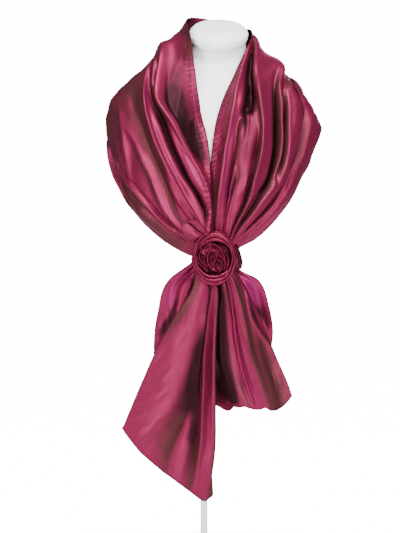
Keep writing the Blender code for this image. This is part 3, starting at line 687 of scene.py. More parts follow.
# %% Folds over the right shoulder
RIGHT_FOLDS = (
    ("inner band", 0.045, 0.018, 0.3, 1.5, ((10.3, 0.03, 3), (10.5, 0.055, 6), (11, 0.11, 8),
                                            (11.5, 0.125, 9), (12, 0.125, 9), (12.5, 0.13, 9),
                                            (13, 0.13, 9), (13.5, 0.115, 7), (14, 0.09, 5))),
    ("inner crease", 0.018, 0.026, 0.0, 1.8, ((11.55, 0.17, -5), (12, 0.185, -9), (12.5, 0.19, -11),
                                              (13, 0.187, -12), (13.5, 0.177, -8), (14, 0.16, -4))),
    ("black pocket", 0.05, 0.062, 0.0, 3.0, ((10, 0.035, -5), (10.25, 0.08, -10), (10.5, 0.125, -15),
                                             (11, 0.22, -23), (11.25, 0.225, -21), (11.45, 0.23, -7))),
    ("pocket tongue", 0.016, 0.02, 0.0, 1.5, ((11.2, 0.21, 4), (11.4, 0.245, 9), (11.6, 0.265, 4))),
    ("chest panel", 0.085, 0.085, 0.0, 3.2, ((11.7, 0.26, 3), (12, 0.28, 4), (12.5, 0.305, 5),
                                             (13, 0.325, 5), (13.5, 0.32, 5), (14, 0.33, 4))),
    ("kinked fold", 0.014, 0.02, 0.3, 1.5, ((12.4, 0.215, 4), (12.6, 0.225, 8), (12.75, 0.215, 7))),
    ("dent under the kink", 0.016, 0.022, 0.0, 2.0, ((12.8, 0.245, -5), (12.98, 0.235, -9),
                                                     (13.25, 0.225, -5))),
    ("tall pleat", 0.018, 0.06, -0.35, 1.5, ((10, 0.075, 4), (10.5, 0.185, 10), (11, 0.305, 14),
                                             (11.5, 0.385, 13), (12, 0.435, 12), (12.5, 0.445, 11),
                                             (13, 0.46, 10), (13.5, 0.47, 7), (14, 0.48, 4))),
    ("shade beside the pleat", 0.02, 0.014, 0.0, 1.8, ((11.8, 0.385, -4), (12, 0.395, -8),
                                                       (12.3, 0.405, -6), (12.6, 0.41, -8),
                                                       (13, 0.425, -10), (13.5, 0.425, -7),
                                                       (14, 0.43, -3))),
    ("first long trough", 0.024, 0.022, 0.0, 2.4, ((10.6, 0.41, -5), (11, 0.46, -13),
                                                   (11.5, 0.515, -15), (12, 0.57, -16),
                                                   (12.5, 0.58, -15), (13, 0.53, -13),
                                                   (13.5, 0.525, -11), (14, 0.54, -5))),
    ("thin ridge", 0.012, 0.012, 0.0, 1.5, ((10.7, 0.46, 3), (11, 0.51, 6), (11.5, 0.563, 7),
                                            (12, 0.62, 5))),
    ("second long trough", 0.018, 0.018, 0.0, 2.4, ((10.7, 0.51, -4), (11, 0.56, -12),
                                                    (11.5, 0.61, -14), (12, 0.66, -13),
                                                    (12.3, 0.655, -8))),
    ("side pleat", 0.05, 0.06, 0.0, 3.0, ((10.5, 0.59, 2), (11, 0.675, 4), (11.5, 0.71, 5),
                                          (12, 0.715, 5), (12.5, 0.675, 6), (13, 0.60, 6),
                                          (13.5, 0.60, 6), (14, 0.61, 4))),
    ("lower edge of the side", 0.016, 0.05, -0.3, 1.5, ((12.2, 0.69, 3), (12.6, 0.635, 5),
                                                        (13, 0.575, 5), (13.5, 0.57, 4))),
    ("line under the shoulder", 0.03, 0.012, 0.0, 1.6, ((10.3, 0.55, -4), (10.6, 0.64, -8),
                                                        (11, 0.775, -10), (11.5, 0.825, -13),
                                                        (12, 0.82, -14), (12.5, 0.765, -10),
                                                        (13, 0.725, -13), (13.5, 0.705, -11),
                                                        (14, 0.71, -4))),
    ("outer band", 0.018, 0.14, -0.25, 2.4, ((10.7, 0.80, 2), (11, 0.84, 4), (11.5, 0.865, 5),
                                             (12, 0.865, 6), (12.5, 0.83, 6), (13, 0.785, 6),
                                             (13.5, 0.775, 6), (14, 0.80, 4))),
    ("side swell", 0.10, 0.12, 0.0, 2.0, ((10.7, 0.93, 3), (11.2, 0.93, 6), (11.6, 0.94, 5),
                                          (12, 0.95, 2))),
    ("puffed shoulder fold", 0.07, 0.03, 0.25, 2.0, ((9.7, 0.36, 4), (10, 0.39, 9), (10.3, 0.44, 9),
                                                     (10.6, 0.47, 3))),
    ("gap under the puff", 0.015, 0.03, 0.0, 1.8, ((9.9, 0.485, -4), (10.2, 0.495, -8),
                                                   (10.5, 0.525, -4))),
)

# %% Folds on the back
# The back doesn't show in the photograph. It gets the swags that a stole hung from two shoulders
# has: curved folds from side to side, of unlike depth and length.
BACK_FOLDS = (
    ("collar roll", 0.08, 0.05, 0.0, 1.8, ((6.6, 0.16, 3), (7, 0.18, 6), (8, 0.17, 5), (9, 0.15, 5),
                                           (9.7, 0.14, 4))),
    ("nape swag", 0.05, 0.04, 0.0, 1.8, ((6.9, 0.27, -5), (7.4, 0.29, -9), (8, 0.30, -10),
                                         (8.7, 0.29, -8), (9.2, 0.27, -4))),
    ("nape ridge", 0.03, 0.05, 0.2, 1.5, ((7, 0.345, 3), (7.5, 0.355, 6), (8, 0.36, 6),
                                          (8.5, 0.35, 4))),
    ("upper crease", 0.02, 0.02, 0.0, 1.6, ((7.2, 0.49, -4), (7.8, 0.51, -7), (8.4, 0.50, -5))),
    ("blade swag", 0.05, 0.05, 0.0, 1.8, ((6.8, 0.60, -5), (7.5, 0.585, -9), (8, 0.58, -10),
                                          (8.6, 0.60, -8), (9.2, 0.61, -5))),
    ("left blade ridge", 0.03, 0.04, 0.3, 1.5, ((6.9, 0.66, 6), (7.3, 0.655, 8), (7.9, 0.65, 5))),
    ("low ridge", 0.04, 0.05, 0.2, 1.6, ((7, 0.74, 5), (7.6, 0.72, 9), (8, 0.71, 9), (8.5, 0.70, 8),
                                         (9.1, 0.69, 6))),
    ("low swag", 0.045, 0.05, 0.0, 1.8, ((6.7, 0.83, -5), (7.5, 0.84, -8), (8, 0.84, -9),
                                         (8.6, 0.83, -8), (9.3, 0.82, -5))),
    ("hem lift", 0.05, 0.06, 0.0, 1.8, ((7.2, 0.93, 5), (8, 0.94, 4), (8.8, 0.92, 6))),
    ("right blade ridge", 0.03, 0.03, 0.2, 1.5, ((8.2, 0.46, 4), (8.7, 0.47, 7), (9.3, 0.48, 6))),
    ("side flute left", 0.04, 0.04, 0.0, 1.8, ((6.1, 0.88, 3), (6.5, 0.87, 5), (6.9, 0.88, 3))),
    ("side groove right", 0.03, 0.03, 0.0, 1.8, ((9.3, 0.72, -5), (9.8, 0.70, -6), (10.2, 0.72, -3))),
)

# %% Painted light and shade on the drape
# The same columns as the folds, with a share of painted light in place of a height: above 0 the
# brown warp is painted in as shade, below 0 the magenta glance as a highlight. It follows how the
# cloth is drawn, fold by fold.
SHAWL_PAINTED_LIGHT = (
    ("shade inside the collar", 0.16, 0.09, 0.0, 3.0, ((3.3, 0.04, 0.0), (4, 0.10, -0.1),
                                                       (4.6, 0.17, -0.1), (5.0, 0.21, 0.0))),
    ("collar hem", 0.06, 0.06, 0.0, 3.0, ((3.4, 0.02, 0.3), (5, 0.02, 0.4), (6.2, 0.02, 0.3))),
    ("collar top", 0.14, 0.10, 0.0, 2.4, ((5.1, 0.12, 0.0), (5.7, 0.15, -0.2), (6.3, 0.12, -0.1))),
    ("bright facing", 0.06, 0.07, 0.0, 2.4, ((11.3, 0.04, -0.3), (12, 0.04, -0.5), (12.6, 0.04, -0.4))),
    ("red outer band", 0.06, 0.14, 0.0, 2.4, ((10.7, 0.88, 0.5), (12, 0.90, 0.6), (13.4, 0.86, 0.6))),
    ("crimson chest", 0.07, 0.08, 0.0, 2.4, ((11.6, 0.28, 0.2), (12.1, 0.30, 0.3), (12.7, 0.32, 0.3),
                                             (13.2, 0.33, 0.2))),
    ("brown beside the long pleat", 0.05, 0.06, 0.0, 2.4, ((2.2, 0.59, 0.4), (2.6, 0.54, 0.5),
                                                           (3, 0.475, 0.6), (3.5, 0.455, 0.6),
                                                           (4, 0.505, 0.6), (4.5, 0.515, 0.6),
                                                           (5, 0.53, 0.6), (5.6, 0.58, 0.5),
                                                           (6, 0.6, 0.4))),
    ("brown outer band", 0.09, 0.12, 0.0, 2.4, ((2, 0.90, 0.3), (3, 0.90, 0.4), (3.4, 0.92, 0.2),
                                                (3.8, 0.94, -0.1))),
    ("magenta stripe", 0.025, 0.02, 0.0, 1.8, ((2.2, 0.64, -0.7), (2.6, 0.60, -0.7), (3, 0.555, -0.6),
                                               (3.5, 0.54, -0.4), (4, 0.585, -0.4), (4.6, 0.65, -0.4))),
    ("crimson inside the stripes", 0.045, 0.05, 0.0, 2.4, ((3, 0.62, -0.3), (3.5, 0.645, -0.45),
                                                           (4, 0.68, -0.45), (4.4, 0.68, -0.3))),
    ("magenta line", 0.02, 0.02, 0.0, 1.8, ((3.7, 0.80, -0.5), (4, 0.755, -0.6), (4.6, 0.71, -0.5))),
    ("magenta patch", 0.045, 0.05, 0.0, 2.2, ((2.4, 0.45, -0.9), (3, 0.385, -0.9), (3.4, 0.385, -0.5))),
    ("magenta collar edge", 0.05, 0.05, 0.0, 2.2, ((2.9, 0.05, -0.5), (3.5, 0.165, -0.9),
                                                   (4, 0.255, -1.0), (4.3, 0.275, -0.7))),
    ("brown above the collar edge", 0.03, 0.03, 0.0, 2.2, ((4.5, 0.33, 0.5), (5, 0.36, 0.6),
                                                           (5.4, 0.37, 0.4))),
    ("magenta near the gather", 0.08, 0.06, 0.0, 2.2, ((13, 0.27, -0.5), (13.5, 0.27, -0.7),
                                                       (14, 0.28, -0.5))),
    ("brown under the puffed fold", 0.07, 0.10, 0.0, 2.2, ((9.8, 0.62, 0.5), (10.3, 0.60, 0.6),
                                                           (10.7, 0.62, 0.5), (11.0, 0.70, 0.3))),
    ("flank of the outer fold", 0.03, 0.04, 0.0, 2.0, ((3.9, 0.95, 0.4), (4.2, 0.93, 0.5),
                                                       (4.8, 0.88, 0.4))),
    ("low corner of the triangle", 0.05, 0.03, 0.0, 2.2, ((3.2, 0.68, -0.3), (3.6, 0.75, -0.5),
                                                          (4, 0.83, -0.6), (4.4, 0.82, -0.4))),
    ("brown in the twin troughs", 0.05, 0.05, 0.0, 2.0, ((10.8, 0.50, 0.3), (11.5, 0.56, 0.4),
                                                         (12, 0.61, 0.45), (12.5, 0.59, 0.4))),
    ("brown by the neck", 0.05, 0.05, 0.0, 2.0, ((10, 0.06, 0.5), (10.5, 0.12, 0.5), (11, 0.16, 0.3))),
)

# Folds that lie in shade of their own, with the depth of the shade in place of a height.
SHAWL_SHADES = (
    ("collar pocket", 0.12, 0.09, 0.0, 3.0, ((3.4, 0.05, 0.1), (4.0, 0.10, 0.15), (4.5, 0.15, 0.15),
                                             (5.0, 0.21, 0.12), (5.4, 0.21, 0.05))),
    ("dark spots", 0.03, 0.03, 0.0, 2.0, ((4.55, 0.12, 0.2), (4.75, 0.14, 0.4), (4.95, 0.13, 0.2))),
    ("dark spot by the hem", 0.03, 0.025, 0.0, 2.0, ((3.95, 0.05, 0.2), (4.15, 0.07, 0.35),
                                                     (4.3, 0.07, 0.2))),
    ("inside of the collar", 0.2, 0.2, 0.0, 2.4, ((4.0, 0.02, 0.2), (5.0, 0.05, 0.3), (5.6, 0.08, 0.4),
                                                  (6.3, 0.1, 0.4))),
    ("under the puffed fold", 0.03, 0.14, 0.0, 2.4, ((9.9, 0.52, 0.4), (10.3, 0.55, 0.6),
                                                     (10.6, 0.60, 0.4))),
    ("long black trough", 0.03, 0.022, 0.0, 2.0, ((1.6, 0.2, 0.3), (2.5, 0.10, 0.3), (3.5, 0.235, 0.3),
                                                  (4.5, 0.345, 0.3), (5.5, 0.41, 0.2))),
    ("chest panel", 0.08, 0.09, 0.0, 2.6, ((11.6, 0.28, 0.6), (12.1, 0.30, 0.85), (12.8, 0.32, 0.8),
                                           (13.2, 0.33, 0.5))),
    ("red outer band", 0.05, 0.12, 0.0, 2.4, ((11, 0.90, 0.6), (12, 0.90, 0.85), (13, 0.86, 0.7))),
    ("right pocket", 0.05, 0.055, 0.0, 2.4, ((10.2, 0.08, 0.2), (11, 0.215, 0.4), (11.35, 0.22, 0.2))),
    ("twin troughs", 0.03, 0.10, 0.0, 2.2, ((10.8, 0.43, 0.2), (11.5, 0.53, 0.35), (12.1, 0.585, 0.4),
                                            (12.6, 0.585, 0.3))),
)

# %% Pleats of the gather
GATHER_PLACES = (0.07, 0.20, 0.33, 0.46, 0.58, 0.70, 0.82, 0.93)


def gather_pleats(ring, inward, spread):
    """Narrow pleats that start at the band and die out between the big folds."""
    pleats = []
    for number, place in enumerate(GATHER_PLACES):
        reach = (0.5, 0.85, 0.4, 0.7)[number % 4]
        tall = (2.0, 1.6, 2.3)[number % 3]
        drawn = place + spread * (place - 0.5)
        run = [(ring + inward * 0.5, place, tall), (ring + inward * 1.0, place, tall),
               (ring + inward * (1.0 + reach), drawn, tall * 0.6)]
        if inward < 0:
            run = run[::-1]
        pleats.append(("gather pleat", 0.02, 0.02, 0.0, 1.5, tuple(run)))
    return tuple(pleats)


SHAWL_FOLDS = LEFT_FOLDS + RIGHT_FOLDS + BACK_FOLDS + gather_pleats(0, 1, 0.06) + gather_pleats(16, -1, 0.06)
print("folds on the drape:", len(SHAWL_FOLDS))

# %% Small creases of the drape
# Columns: start and end as (station, place), width and height in millimetres.
SHAWL_CREASES = (
    ((4.35, 0.30), (4.0, 0.22), 3.0, -1.6),
    ((3.75, 0.21), (3.5, 0.11), 3.0, 1.6),
    ((5.2, 0.12), (4.7, 0.20), 4.0, 2.0),
    ((4.8, 0.05), (4.45, 0.12), 4.0, 1.8),
    ((4.5, 0.02), (4.2, 0.10), 3.5, -1.8),
    ((5.6, 0.10), (5.2, 0.24), 5.0, 2.2),
    ((5.75, 0.05), (5.35, 0.17), 4.0, -1.5),
    ((4.15, 0.01), (3.9, 0.06), 3.5, 1.8),
    ((3.8, 0.02), (3.55, 0.05), 3.5, -1.8),
    ((4.4, 0.80), (4.1, 0.86), 5.0, 1.5),
    ((3.4, 0.58), (2.9, 0.60), 6.0, 1.5),
    ((11.6, 0.02), (11.75, 0.10), 3.5, 2.2),
    ((11.8, 0.02), (11.95, 0.11), 3.5, -2.2),
    ((12.0, 0.015), (12.15, 0.10), 3.5, 2.4),
    ((11.45, 0.02), (11.55, 0.08), 3.0, -1.8),
    ((12.25, 0.02), (12.35, 0.09), 3.0, -1.6),
    ((11.9, 0.27), (12.3, 0.33), 5.0, -1.5),
    ((12.5, 0.36), (12.9, 0.37), 4.0, 1.6),
    ((10.6, 0.33), (11.2, 0.36), 5.0, 1.5),
    ((11.1, 0.62), (11.9, 0.69), 5.0, 1.4),
    ((7.6, 0.40), (8.3, 0.44), 6.0, 1.6),
    ((7.9, 0.78), (8.5, 0.76), 6.0, -1.5),
    ((8.5, 0.24), (9.0, 0.33), 5.0, 1.6),
)


# %% Lay a stretch of cloth
# The hem at the neck lies on the form, so no fold draws it in: this share of the width is held.
HEM_HOLD = 0.06
# Passes that even out the steps between one row and the next; creases across a row stay crisp.
ROW_SMOOTHINGS = 3


def lay_cloth(sections, knots, folds, creases, painted_light_rows, shades, rows, columns, facing, calmness=1.0):
    """Base grid, folded grid, relief, painted light and painted shade of a stretch of cloth."""
    along = np.linspace(0, 1, rows + 1)
    across = np.linspace(0, 1, columns + 1)
    table = np.array([row[1:] for row in sections], float)
    places = station_places(sections)
    lines = np.stack([smooth_through(knots, section, across) for section in table])
    base = smooth_through(places, lines, along)
    normals = grid_normals(base) * facing
    sideways = unit(np.gradient(base, axis=1))
    height, drift = fold_relief(folds, places, along, across)
    # Painted light and painted shade are laid like folds, each from its own table.
    painted_light, _ = fold_relief(painted_light_rows, places, along, across)
    shade, _ = fold_relief(shades, places, along, across)
    held = np.clip(across / HEM_HOLD, 0, 1)[None, :]
    height = np.where(height < 0, height * held, height)
    down, over = flat_places(base)

    def to_down(station, place):
        row = int(round(np.interp(station, range(len(places)), places) * rows))
        return down[row, int(round(place * columns))]

    def to_over(station, place):
        row = int(round(np.interp(station, range(len(places)), places) * rows))
        return over[row, int(round(place * columns))]

    calm = np.clip(np.minimum(along, 1 - along) / 0.12, 0, 1)[:, None]
    height = height + crease_relief(creases, down, over, to_down, to_over) + ripples(down, over) * calm * calmness
    points = base + normals * height[..., None] + sideways * drift[..., None]
    for _ in range(ROW_SMOOTHINGS):
        points[1:-1] = 0.25 * points[:-2] + 0.5 * points[1:-1] + 0.25 * points[2:]
    return base, points, height, painted_light, shade


SHAWL_ROWS, SHAWL_COLUMNS = 300, 150
shawl_base, shawl_points, shawl_height, shawl_painted_light, shawl_shade = lay_cloth(
    SHAWL_SECTIONS, SHAWL_KNOTS, SHAWL_FOLDS, SHAWL_CREASES, SHAWL_PAINTED_LIGHT, SHAWL_SHADES,
    SHAWL_ROWS, SHAWL_COLUMNS, 1)
shoulder_drape = dress("stole_drape", shawl_points, shawl_base, shawl_height, TAFFETA, 1,
                       puckered=True, painted_light=shawl_painted_light, shade=shawl_shade)
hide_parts("shoulder_drape")
print("drape area:", round(area_of(shawl_points), 4), "square metres")

# %% [markdown]
# ## The two ends
# Below the band each end is one sheet folded lengthwise: a front panel, a fold beside the centre
# and a back layer whose hem shows as a soft ear at the side. The long end is cut straight across,
# so hanging askew it comes to a point; the short end hangs higher.

# %% Sections and folds of the ends
END_KNOTS = (0.0, 0.17, 0.32, 0.47, 0.55, 0.68, 0.84, 1.0)
LONG_END_SECTIONS = (
    ("ring", (-41, -130, 589.3), (-31, -142, 589.3), (-17, -143, 589.3), (-7, -134, 589.3),
     (-7, -123, 589.3), (-17, -116, 589.3), (-30, -113, 589.3), (-43, -118, 589.3)),
    ("mouth", (-43, -130, 579), (-31, -142, 576), (-17, -143, 574), (-7, -134, 574),
     (-7, -123, 574), (-17, -116, 574), (-33, -113, 578), (-48, -116, 582)),
    ("below rose", (-47, -130, 536), (-27, -142, 534), (-9, -140, 532), (2, -132, 532),
     (0, -120, 532), (-28, -108, 532), (-63, -111, 538), (-96, -104, 545)),
    ("hip", (-82, -126, 476), (-48, -138, 472), (-18, -134, 470), (0, -128, 470),
     (-3, -114, 468), (-38, -103, 466), (-82, -108, 470), (-118, -98, 478)),
    ("knee", (-118, -122, 412), (-69, -136, 406), (-28, -130, 402), (-3, -127, 402),
     (-8, -113, 402), (-42, -101, 404), (-88, -106, 408), (-125, -97, 420)),
    ("shin", (-154, -120, 332), (-95, -134, 314), (-38, -127, 300), (-3, -125, 296),
     (-10, -111, 300), (-44, -99, 306), (-84, -103, 316), (-118, -97, 334)),
    ("low", (-174, -119, 284), (-119, -131, 244), (-54, -125, 212), (-5, -123, 200),
     (-13, -110, 208), (-42, -99, 222), (-76, -101, 240), (-106, -96, 262)),
    ("hem", (-188, -118, 250), (-131, -128, 195), (-76, -124, 150), (-22, -121, 112),
     (-8, -111, 125), (-38, -101, 142), (-68, -101, 160), (-98, -97, 188)),
)
LONG_END_FOLDS = (
    ("panel swell", 0.09, 0.09, 0.0, 2.0, ((2, 0.09, 2), (3, 0.10, 4), (4, 0.11, 5), (5, 0.11, 5),
                                           (6, 0.11, 4), (7, 0.11, 3))),
    ("wide shadow", 0.085, 0.035, 0.0, 2.0, ((2.8, 0.25, -3), (3.4, 0.275, -7), (4, 0.28, -12),
                                             (4.5, 0.275, -13), (5, 0.26, -12), (5.5, 0.235, -9),
                                             (6, 0.21, -6), (7, 0.20, -3))),
    ("middle ridge", 0.035, 0.028, 0.0, 1.7, ((5, 0.285, 4), (5.5, 0.275, 7), (6, 0.262, 8),
                                              (7, 0.27, 5))),
    ("second shadow", 0.035, 0.020, 0.0, 1.8, ((3.8, 0.30, -4), (4.4, 0.305, -8), (5, 0.31, -12),
                                               (5.5, 0.32, -13), (6, 0.325, -11), (7, 0.34, -5))),
    ("upright ridge", 0.022, 0.060, -0.2, 1.6, ((2, 0.31, 3), (3, 0.325, 6), (4, 0.335, 9),
                                                (5, 0.35, 10), (6, 0.37, 9), (7, 0.39, 6))),
    ("right groove", 0.025, 0.025, 0.0, 1.8, ((3.2, 0.42, -2), (4, 0.425, -3), (5, 0.43, -4),
                                              (6, 0.435, -3))),
    ("crease from the rose", 0.010, 0.022, 0.0, 1.6, ((1.6, 0.20, -4), (2, 0.228, -7), (2.5, 0.255, -7),
                                                      (3, 0.28, -6), (3.5, 0.29, -3))),
    ("back trough", 0.045, 0.045, 0.0, 1.8, ((2, 0.70, -4), (3, 0.72, -7), (4, 0.73, -8), (5, 0.72, -7),
                                             (6, 0.72, -5))),
    ("ear swell", 0.07, 0.05, 0.0, 2.2, ((1.6, 0.80, 4), (2, 0.81, 7), (3, 0.80, 7), (3.7, 0.80, 4))),
    ("ear crease", 0.035, 0.025, 0.0, 1.8, ((1.5, 0.885, -4), (2, 0.90, -6), (2.5, 0.885, -5),
                                            (3.1, 0.87, -3))),
    ("ear dent", 0.03, 0.04, 0.0, 2.0, ((3.0, 0.93, -3), (3.4, 0.92, -5), (3.8, 0.93, -3))),
)
# Painted light on the long end, brown shade and magenta highlight, and where it lies in its own painted shade.
LONG_END_PAINTED_LIGHT = (
    ("brown along the hem", 0.06, 0.09, 0.0, 2.4, ((1.3, 0.03, 1.0), (2.4, 0.03, 1.1), (3, 0.01, 0.9),
                                                   (3.7, -0.02, 0.4))),
    ("brown beside the shadow", 0.07, 0.06, 0.0, 2.0, ((3.4, 0.24, 0.4), (4, 0.245, 0.5),
                                                       (5, 0.22, 0.5), (6, 0.19, 0.5), (7, 0.17, 0.3))),
    ("brown side", 0.03, 0.08, 0.0, 2.0, ((2, 0.42, 0.4), (4, 0.43, 0.35), (6, 0.45, 0.4),
                                          (7, 0.46, 0.3))),
    ("pink ear", 0.12, 0.12, 0.0, 2.0, ((1.5, 0.90, -0.9), (2.5, 0.93, -0.9), (3.5, 0.96, -0.5))),
)
LONG_END_SHADES = (
    ("heart of the shadow", 0.035, 0.02, 0.0, 2.0, ((3.6, 0.285, 0.2), (4, 0.285, 0.4),
                                                    (4.6, 0.28, 0.5), (5.2, 0.29, 0.3),
                                                    (5.6, 0.31, 0.3))),
    ("under the rose", 0.5, 0.5, 0.0, 2.0, ((0.5, 0.25, 0.5), (1.2, 0.25, 0.4), (1.5, 0.25, 0.1))),
    ("behind the panel", 0.12, 0.035, 0.0, 2.4, ((1.5, 0.77, 0.6), (2, 0.795, 0.7), (2.5, 0.84, 0.7),
                                                 (3, 0.88, 0.7), (3.5, 0.94, 0.6))),
    ("hem beside the ear", 0.03, 0.05, 0.0, 2.4, ((1.3, 0.0, 0.5), (2.4, 0.01, 0.5), (3.1, 0.0, 0.3))),
)
SHORT_END_SECTIONS = (
    ("ring", (33, -130, 589.3), (23, -142, 589.3), (10, -143, 589.3), (-1, -134, 589.3),
     (-1, -123, 589.3), (8, -116, 589.3), (20, -113, 589.3), (34, -118, 589.3)),
    ("mouth", (35, -130, 572), (24, -142, 572), (11, -143, 573), (-1, -134, 574),
     (-1, -123, 574), (9, -116, 574), (24, -113, 572), (40, -117, 570)),
    ("below rose", (51, -120, 538), (38, -136, 535), (23, -140, 533), (9, -131, 532),
     (-1, -110, 532), (18, -100, 532), (52, -105, 537), (80, -102, 546)),
    ("hip", (82, -114, 476), (61, -130, 472), (36, -136, 470), (13, -120, 470),
     (-5, -101, 470), (17, -91, 472), (62, -97, 478), (102, -96, 492)),
    ("knee", (109, -112, 410), (80, -128, 404), (47, -134, 402), (17, -116, 402),
     (-7, -98, 402), (14, -88, 404), (62, -94, 414), (109, -94, 430)),
    ("shin", (138, -110, 346), (100, -126, 342), (57, -132, 342), (21, -115, 344),
     (-7, -98, 346), (12, -88, 342), (50, -93, 350), (92, -94, 368)),
    ("hem", (150, -108, 306), (110, -124, 289), (63, -131, 293), (27, -115, 299),
     (-7, -98, 306), (20, -89, 287), (44, -93, 308), (80, -94, 332)),
)
SHORT_END_FOLDS = (
    ("outer swell", 0.08, 0.06, 0.0, 2.2, ((4, 0.09, 4), (4.5, 0.09, 7), (5, 0.09, 7), (6, 0.09, 5))),
    ("line beside the ear", 0.03, 0.02, 0.0, 1.8, ((2.1, 0.03, -3), (2.5, 0.08, -5), (3, 0.11, -6),
                                                   (3.5, 0.07, -5), (3.9, 0.02, -3))),
    ("brown flank", 0.04, 0.025, 0.0, 2.0, ((2, 0.22, -3), (3, 0.24, -5), (4, 0.25, -6), (5, 0.23, -4),
                                            (6, 0.21, -2))),
    ("twin ridge right", 0.020, 0.022, 0.0, 1.7, ((1.8, 0.30, 4), (3, 0.335, 7), (4, 0.335, 8),
                                                  (5, 0.30, 8), (6, 0.26, 5))),
    ("groove between", 0.009, 0.009, 0.0, 1.5, ((2.9, 0.358, -3), (3.3, 0.362, -5), (4, 0.358, -5),
                                                (5, 0.325, -5), (5.7, 0.30, -3))),
    ("twin ridge left", 0.020, 0.028, 0.0, 1.7, ((1.8, 0.36, 5), (3, 0.385, 8), (4, 0.385, 8),
                                                 (5, 0.35, 8), (6, 0.305, 5))),
    ("centre shadow", 0.05, 0.06, 0.0, 2.2, ((2, 0.45, -6), (3, 0.48, -12), (4, 0.48, -13),
                                             (5, 0.45, -11), (6, 0.43, -5))),
    ("back trough", 0.045, 0.045, 0.0, 1.8, ((2, 0.72, -4), (3, 0.74, -6), (4, 0.74, -6),
                                             (5, 0.74, -4))),
    ("ear swell", 0.06, 0.05, 0.0, 2.2, ((1.6, 0.82, 4), (2, 0.83, 7), (3, 0.84, 8), (3.7, 0.86, 5))),
    ("ear crease", 0.020, 0.030, 0.0, 1.6, ((1.5, 0.78, -3), (2, 0.80, -5), (2.5, 0.84, -5),
                                            (3.1, 0.90, -4))),
    ("ear dent", 0.04, 0.03, 0.0, 2.0, ((2.6, 0.93, -3), (3.0, 0.94, -5), (3.4, 0.95, -3))),
)
# Painted light on the short end, brown shade and magenta highlight, and where it lies in its own painted shade.
SHORT_END_PAINTED_LIGHT = (
    ("brown flank", 0.035, 0.03, 0.0, 2.0, ((2, 0.22, 0.4), (3, 0.235, 0.5), (4, 0.245, 0.5),
                                            (5, 0.225, 0.3), (6, 0.20, 0.1))),
    ("pink ridges", 0.05, 0.05, 0.0, 3.0, ((1.8, 0.33, -0.6), (3, 0.36, -0.7), (4, 0.36, -0.7),
                                           (5, 0.325, -0.7), (6, 0.285, -0.6))),
    ("red panel", 0.10, 0.07, 0.0, 2.2, ((3.9, 0.07, 0.3), (5, 0.08, 0.4), (6, 0.08, 0.4))),
    ("pink of the ear", 0.05, 0.06, 0.0, 2.2, ((1.8, 0.0, -0.8), (2.6, 0.02, -0.8), (3.2, 0.02, -0.6))),
    ("pink ear", 0.12, 0.12, 0.0, 2.0, ((1.5, 0.90, -0.9), (2.5, 0.93, -0.9), (3.5, 0.96, -0.5))),
    ("dark ridge end", 0.03, 0.03, 0.0, 2.0, ((5, 0.36, 0.3), (6, 0.33, 0.4))),
)
SHORT_END_SHADES = (
    ("centre shadow", 0.06, 0.16, 0.0, 2.4, ((1.8, 0.47, 0.5), (2.5, 0.48, 0.8), (3.5, 0.49, 0.9),
                                             (5, 0.47, 0.9), (5.7, 0.45, 0.6))),
    ("line beside the ear", 0.03, 0.025, 0.0, 1.8, ((2.1, 0.04, 0.3), (2.5, 0.09, 0.5), (3, 0.12, 0.6),
                                                    (3.5, 0.08, 0.5), (3.9, 0.02, 0.3))),
    ("shade in the ear", 0.03, 0.04, 0.0, 2.0, ((1.5, 0.80, 0.3), (2, 0.83, 0.5), (2.5, 0.86, 0.5),
                                                (3, 0.90, 0.6), (3.5, 0.96, 0.5))),
    ("beside the ridge", 0.022, 0.022, 0.0, 2.0, ((2.2, 0.29, 0.3), (3, 0.295, 0.5), (3.8, 0.29, 0.3))),
)
LONG_END_CREASES = (
    ((6.3, 0.07), (5.8, 0.13), 3.2, 1.7),
    ((6.5, 0.09), (5.95, 0.15), 3.0, -1.6),
    ((6.1, 0.03), (5.6, 0.08), 3.2, 1.4),
    ((6.7, 0.13), (6.2, 0.17), 3.5, 1.5),
    ((5.9, 0.13), (5.4, 0.17), 3.5, -1.3),
    ((5.2, 0.11), (4.8, 0.16), 4.0, -1.4),
    ((5.5, 0.04), (5.0, 0.08), 3.6, 1.3),
    ((4.7, 0.09), (4.3, 0.14), 4.0, 1.3),
    ((4.4, 0.03), (3.9, 0.07), 4.0, -1.1),
    ((3.9, 0.12), (3.4, 0.16), 4.5, -1.2),
    ((2.6, 0.10), (3.3, 0.14), 5.0, 1.2),
)
SHORT_END_CREASES = (
    ((4.5, 0.10), (5.3, 0.13), 4.0, 1.2),
    ((3.4, 0.30), (3.8, 0.27), 3.0, -1.4),
    ((4.6, 0.04), (5.2, 0.06), 3.0, -1.0),
)


def end_pleats(places):
    """Narrow pleats that open out just below the band."""
    return tuple(("gather pleat", 0.018, 0.018, 0.0, 1.5,
                  ((0.5, place, 1.6), (1.0, place, 2.0), (1.4 + 0.3 * (number % 3), place, 1.0)))
                 for number, place in enumerate(places))


END_GATHERS = (0.07, 0.15, 0.27, 0.38, 0.64, 0.72, 0.82, 0.94)
HEM_REACH = 0.07
# Rounded corners and scallops of the hems: place across, width, how far the hem is drawn up.
LONG_END_HEM = ((0.0, 0.03, 6), (0.11, 0.06, -5), (0.24, 0.09, -4), (0.50, 0.03, 3))
SHORT_END_HEM = ((0.0, 0.05, 14), (0.225, 0.022, 6), (0.36, 0.03, 3))


def draw_up_hem(points, hem):
    """Lift parts of the end's hem, which fades out up the cloth."""
    along = np.linspace(0, 1, points.shape[0])[:, None]
    across = np.linspace(0, 1, points.shape[1])[None, :]
    reach = np.clip((along - 1 + HEM_REACH) / HEM_REACH, 0, 1) ** 2
    for place, width, rise in hem:
        points[..., 2] += rise * reach * np.exp(-((np.abs(across - place) / width) ** 1.5))


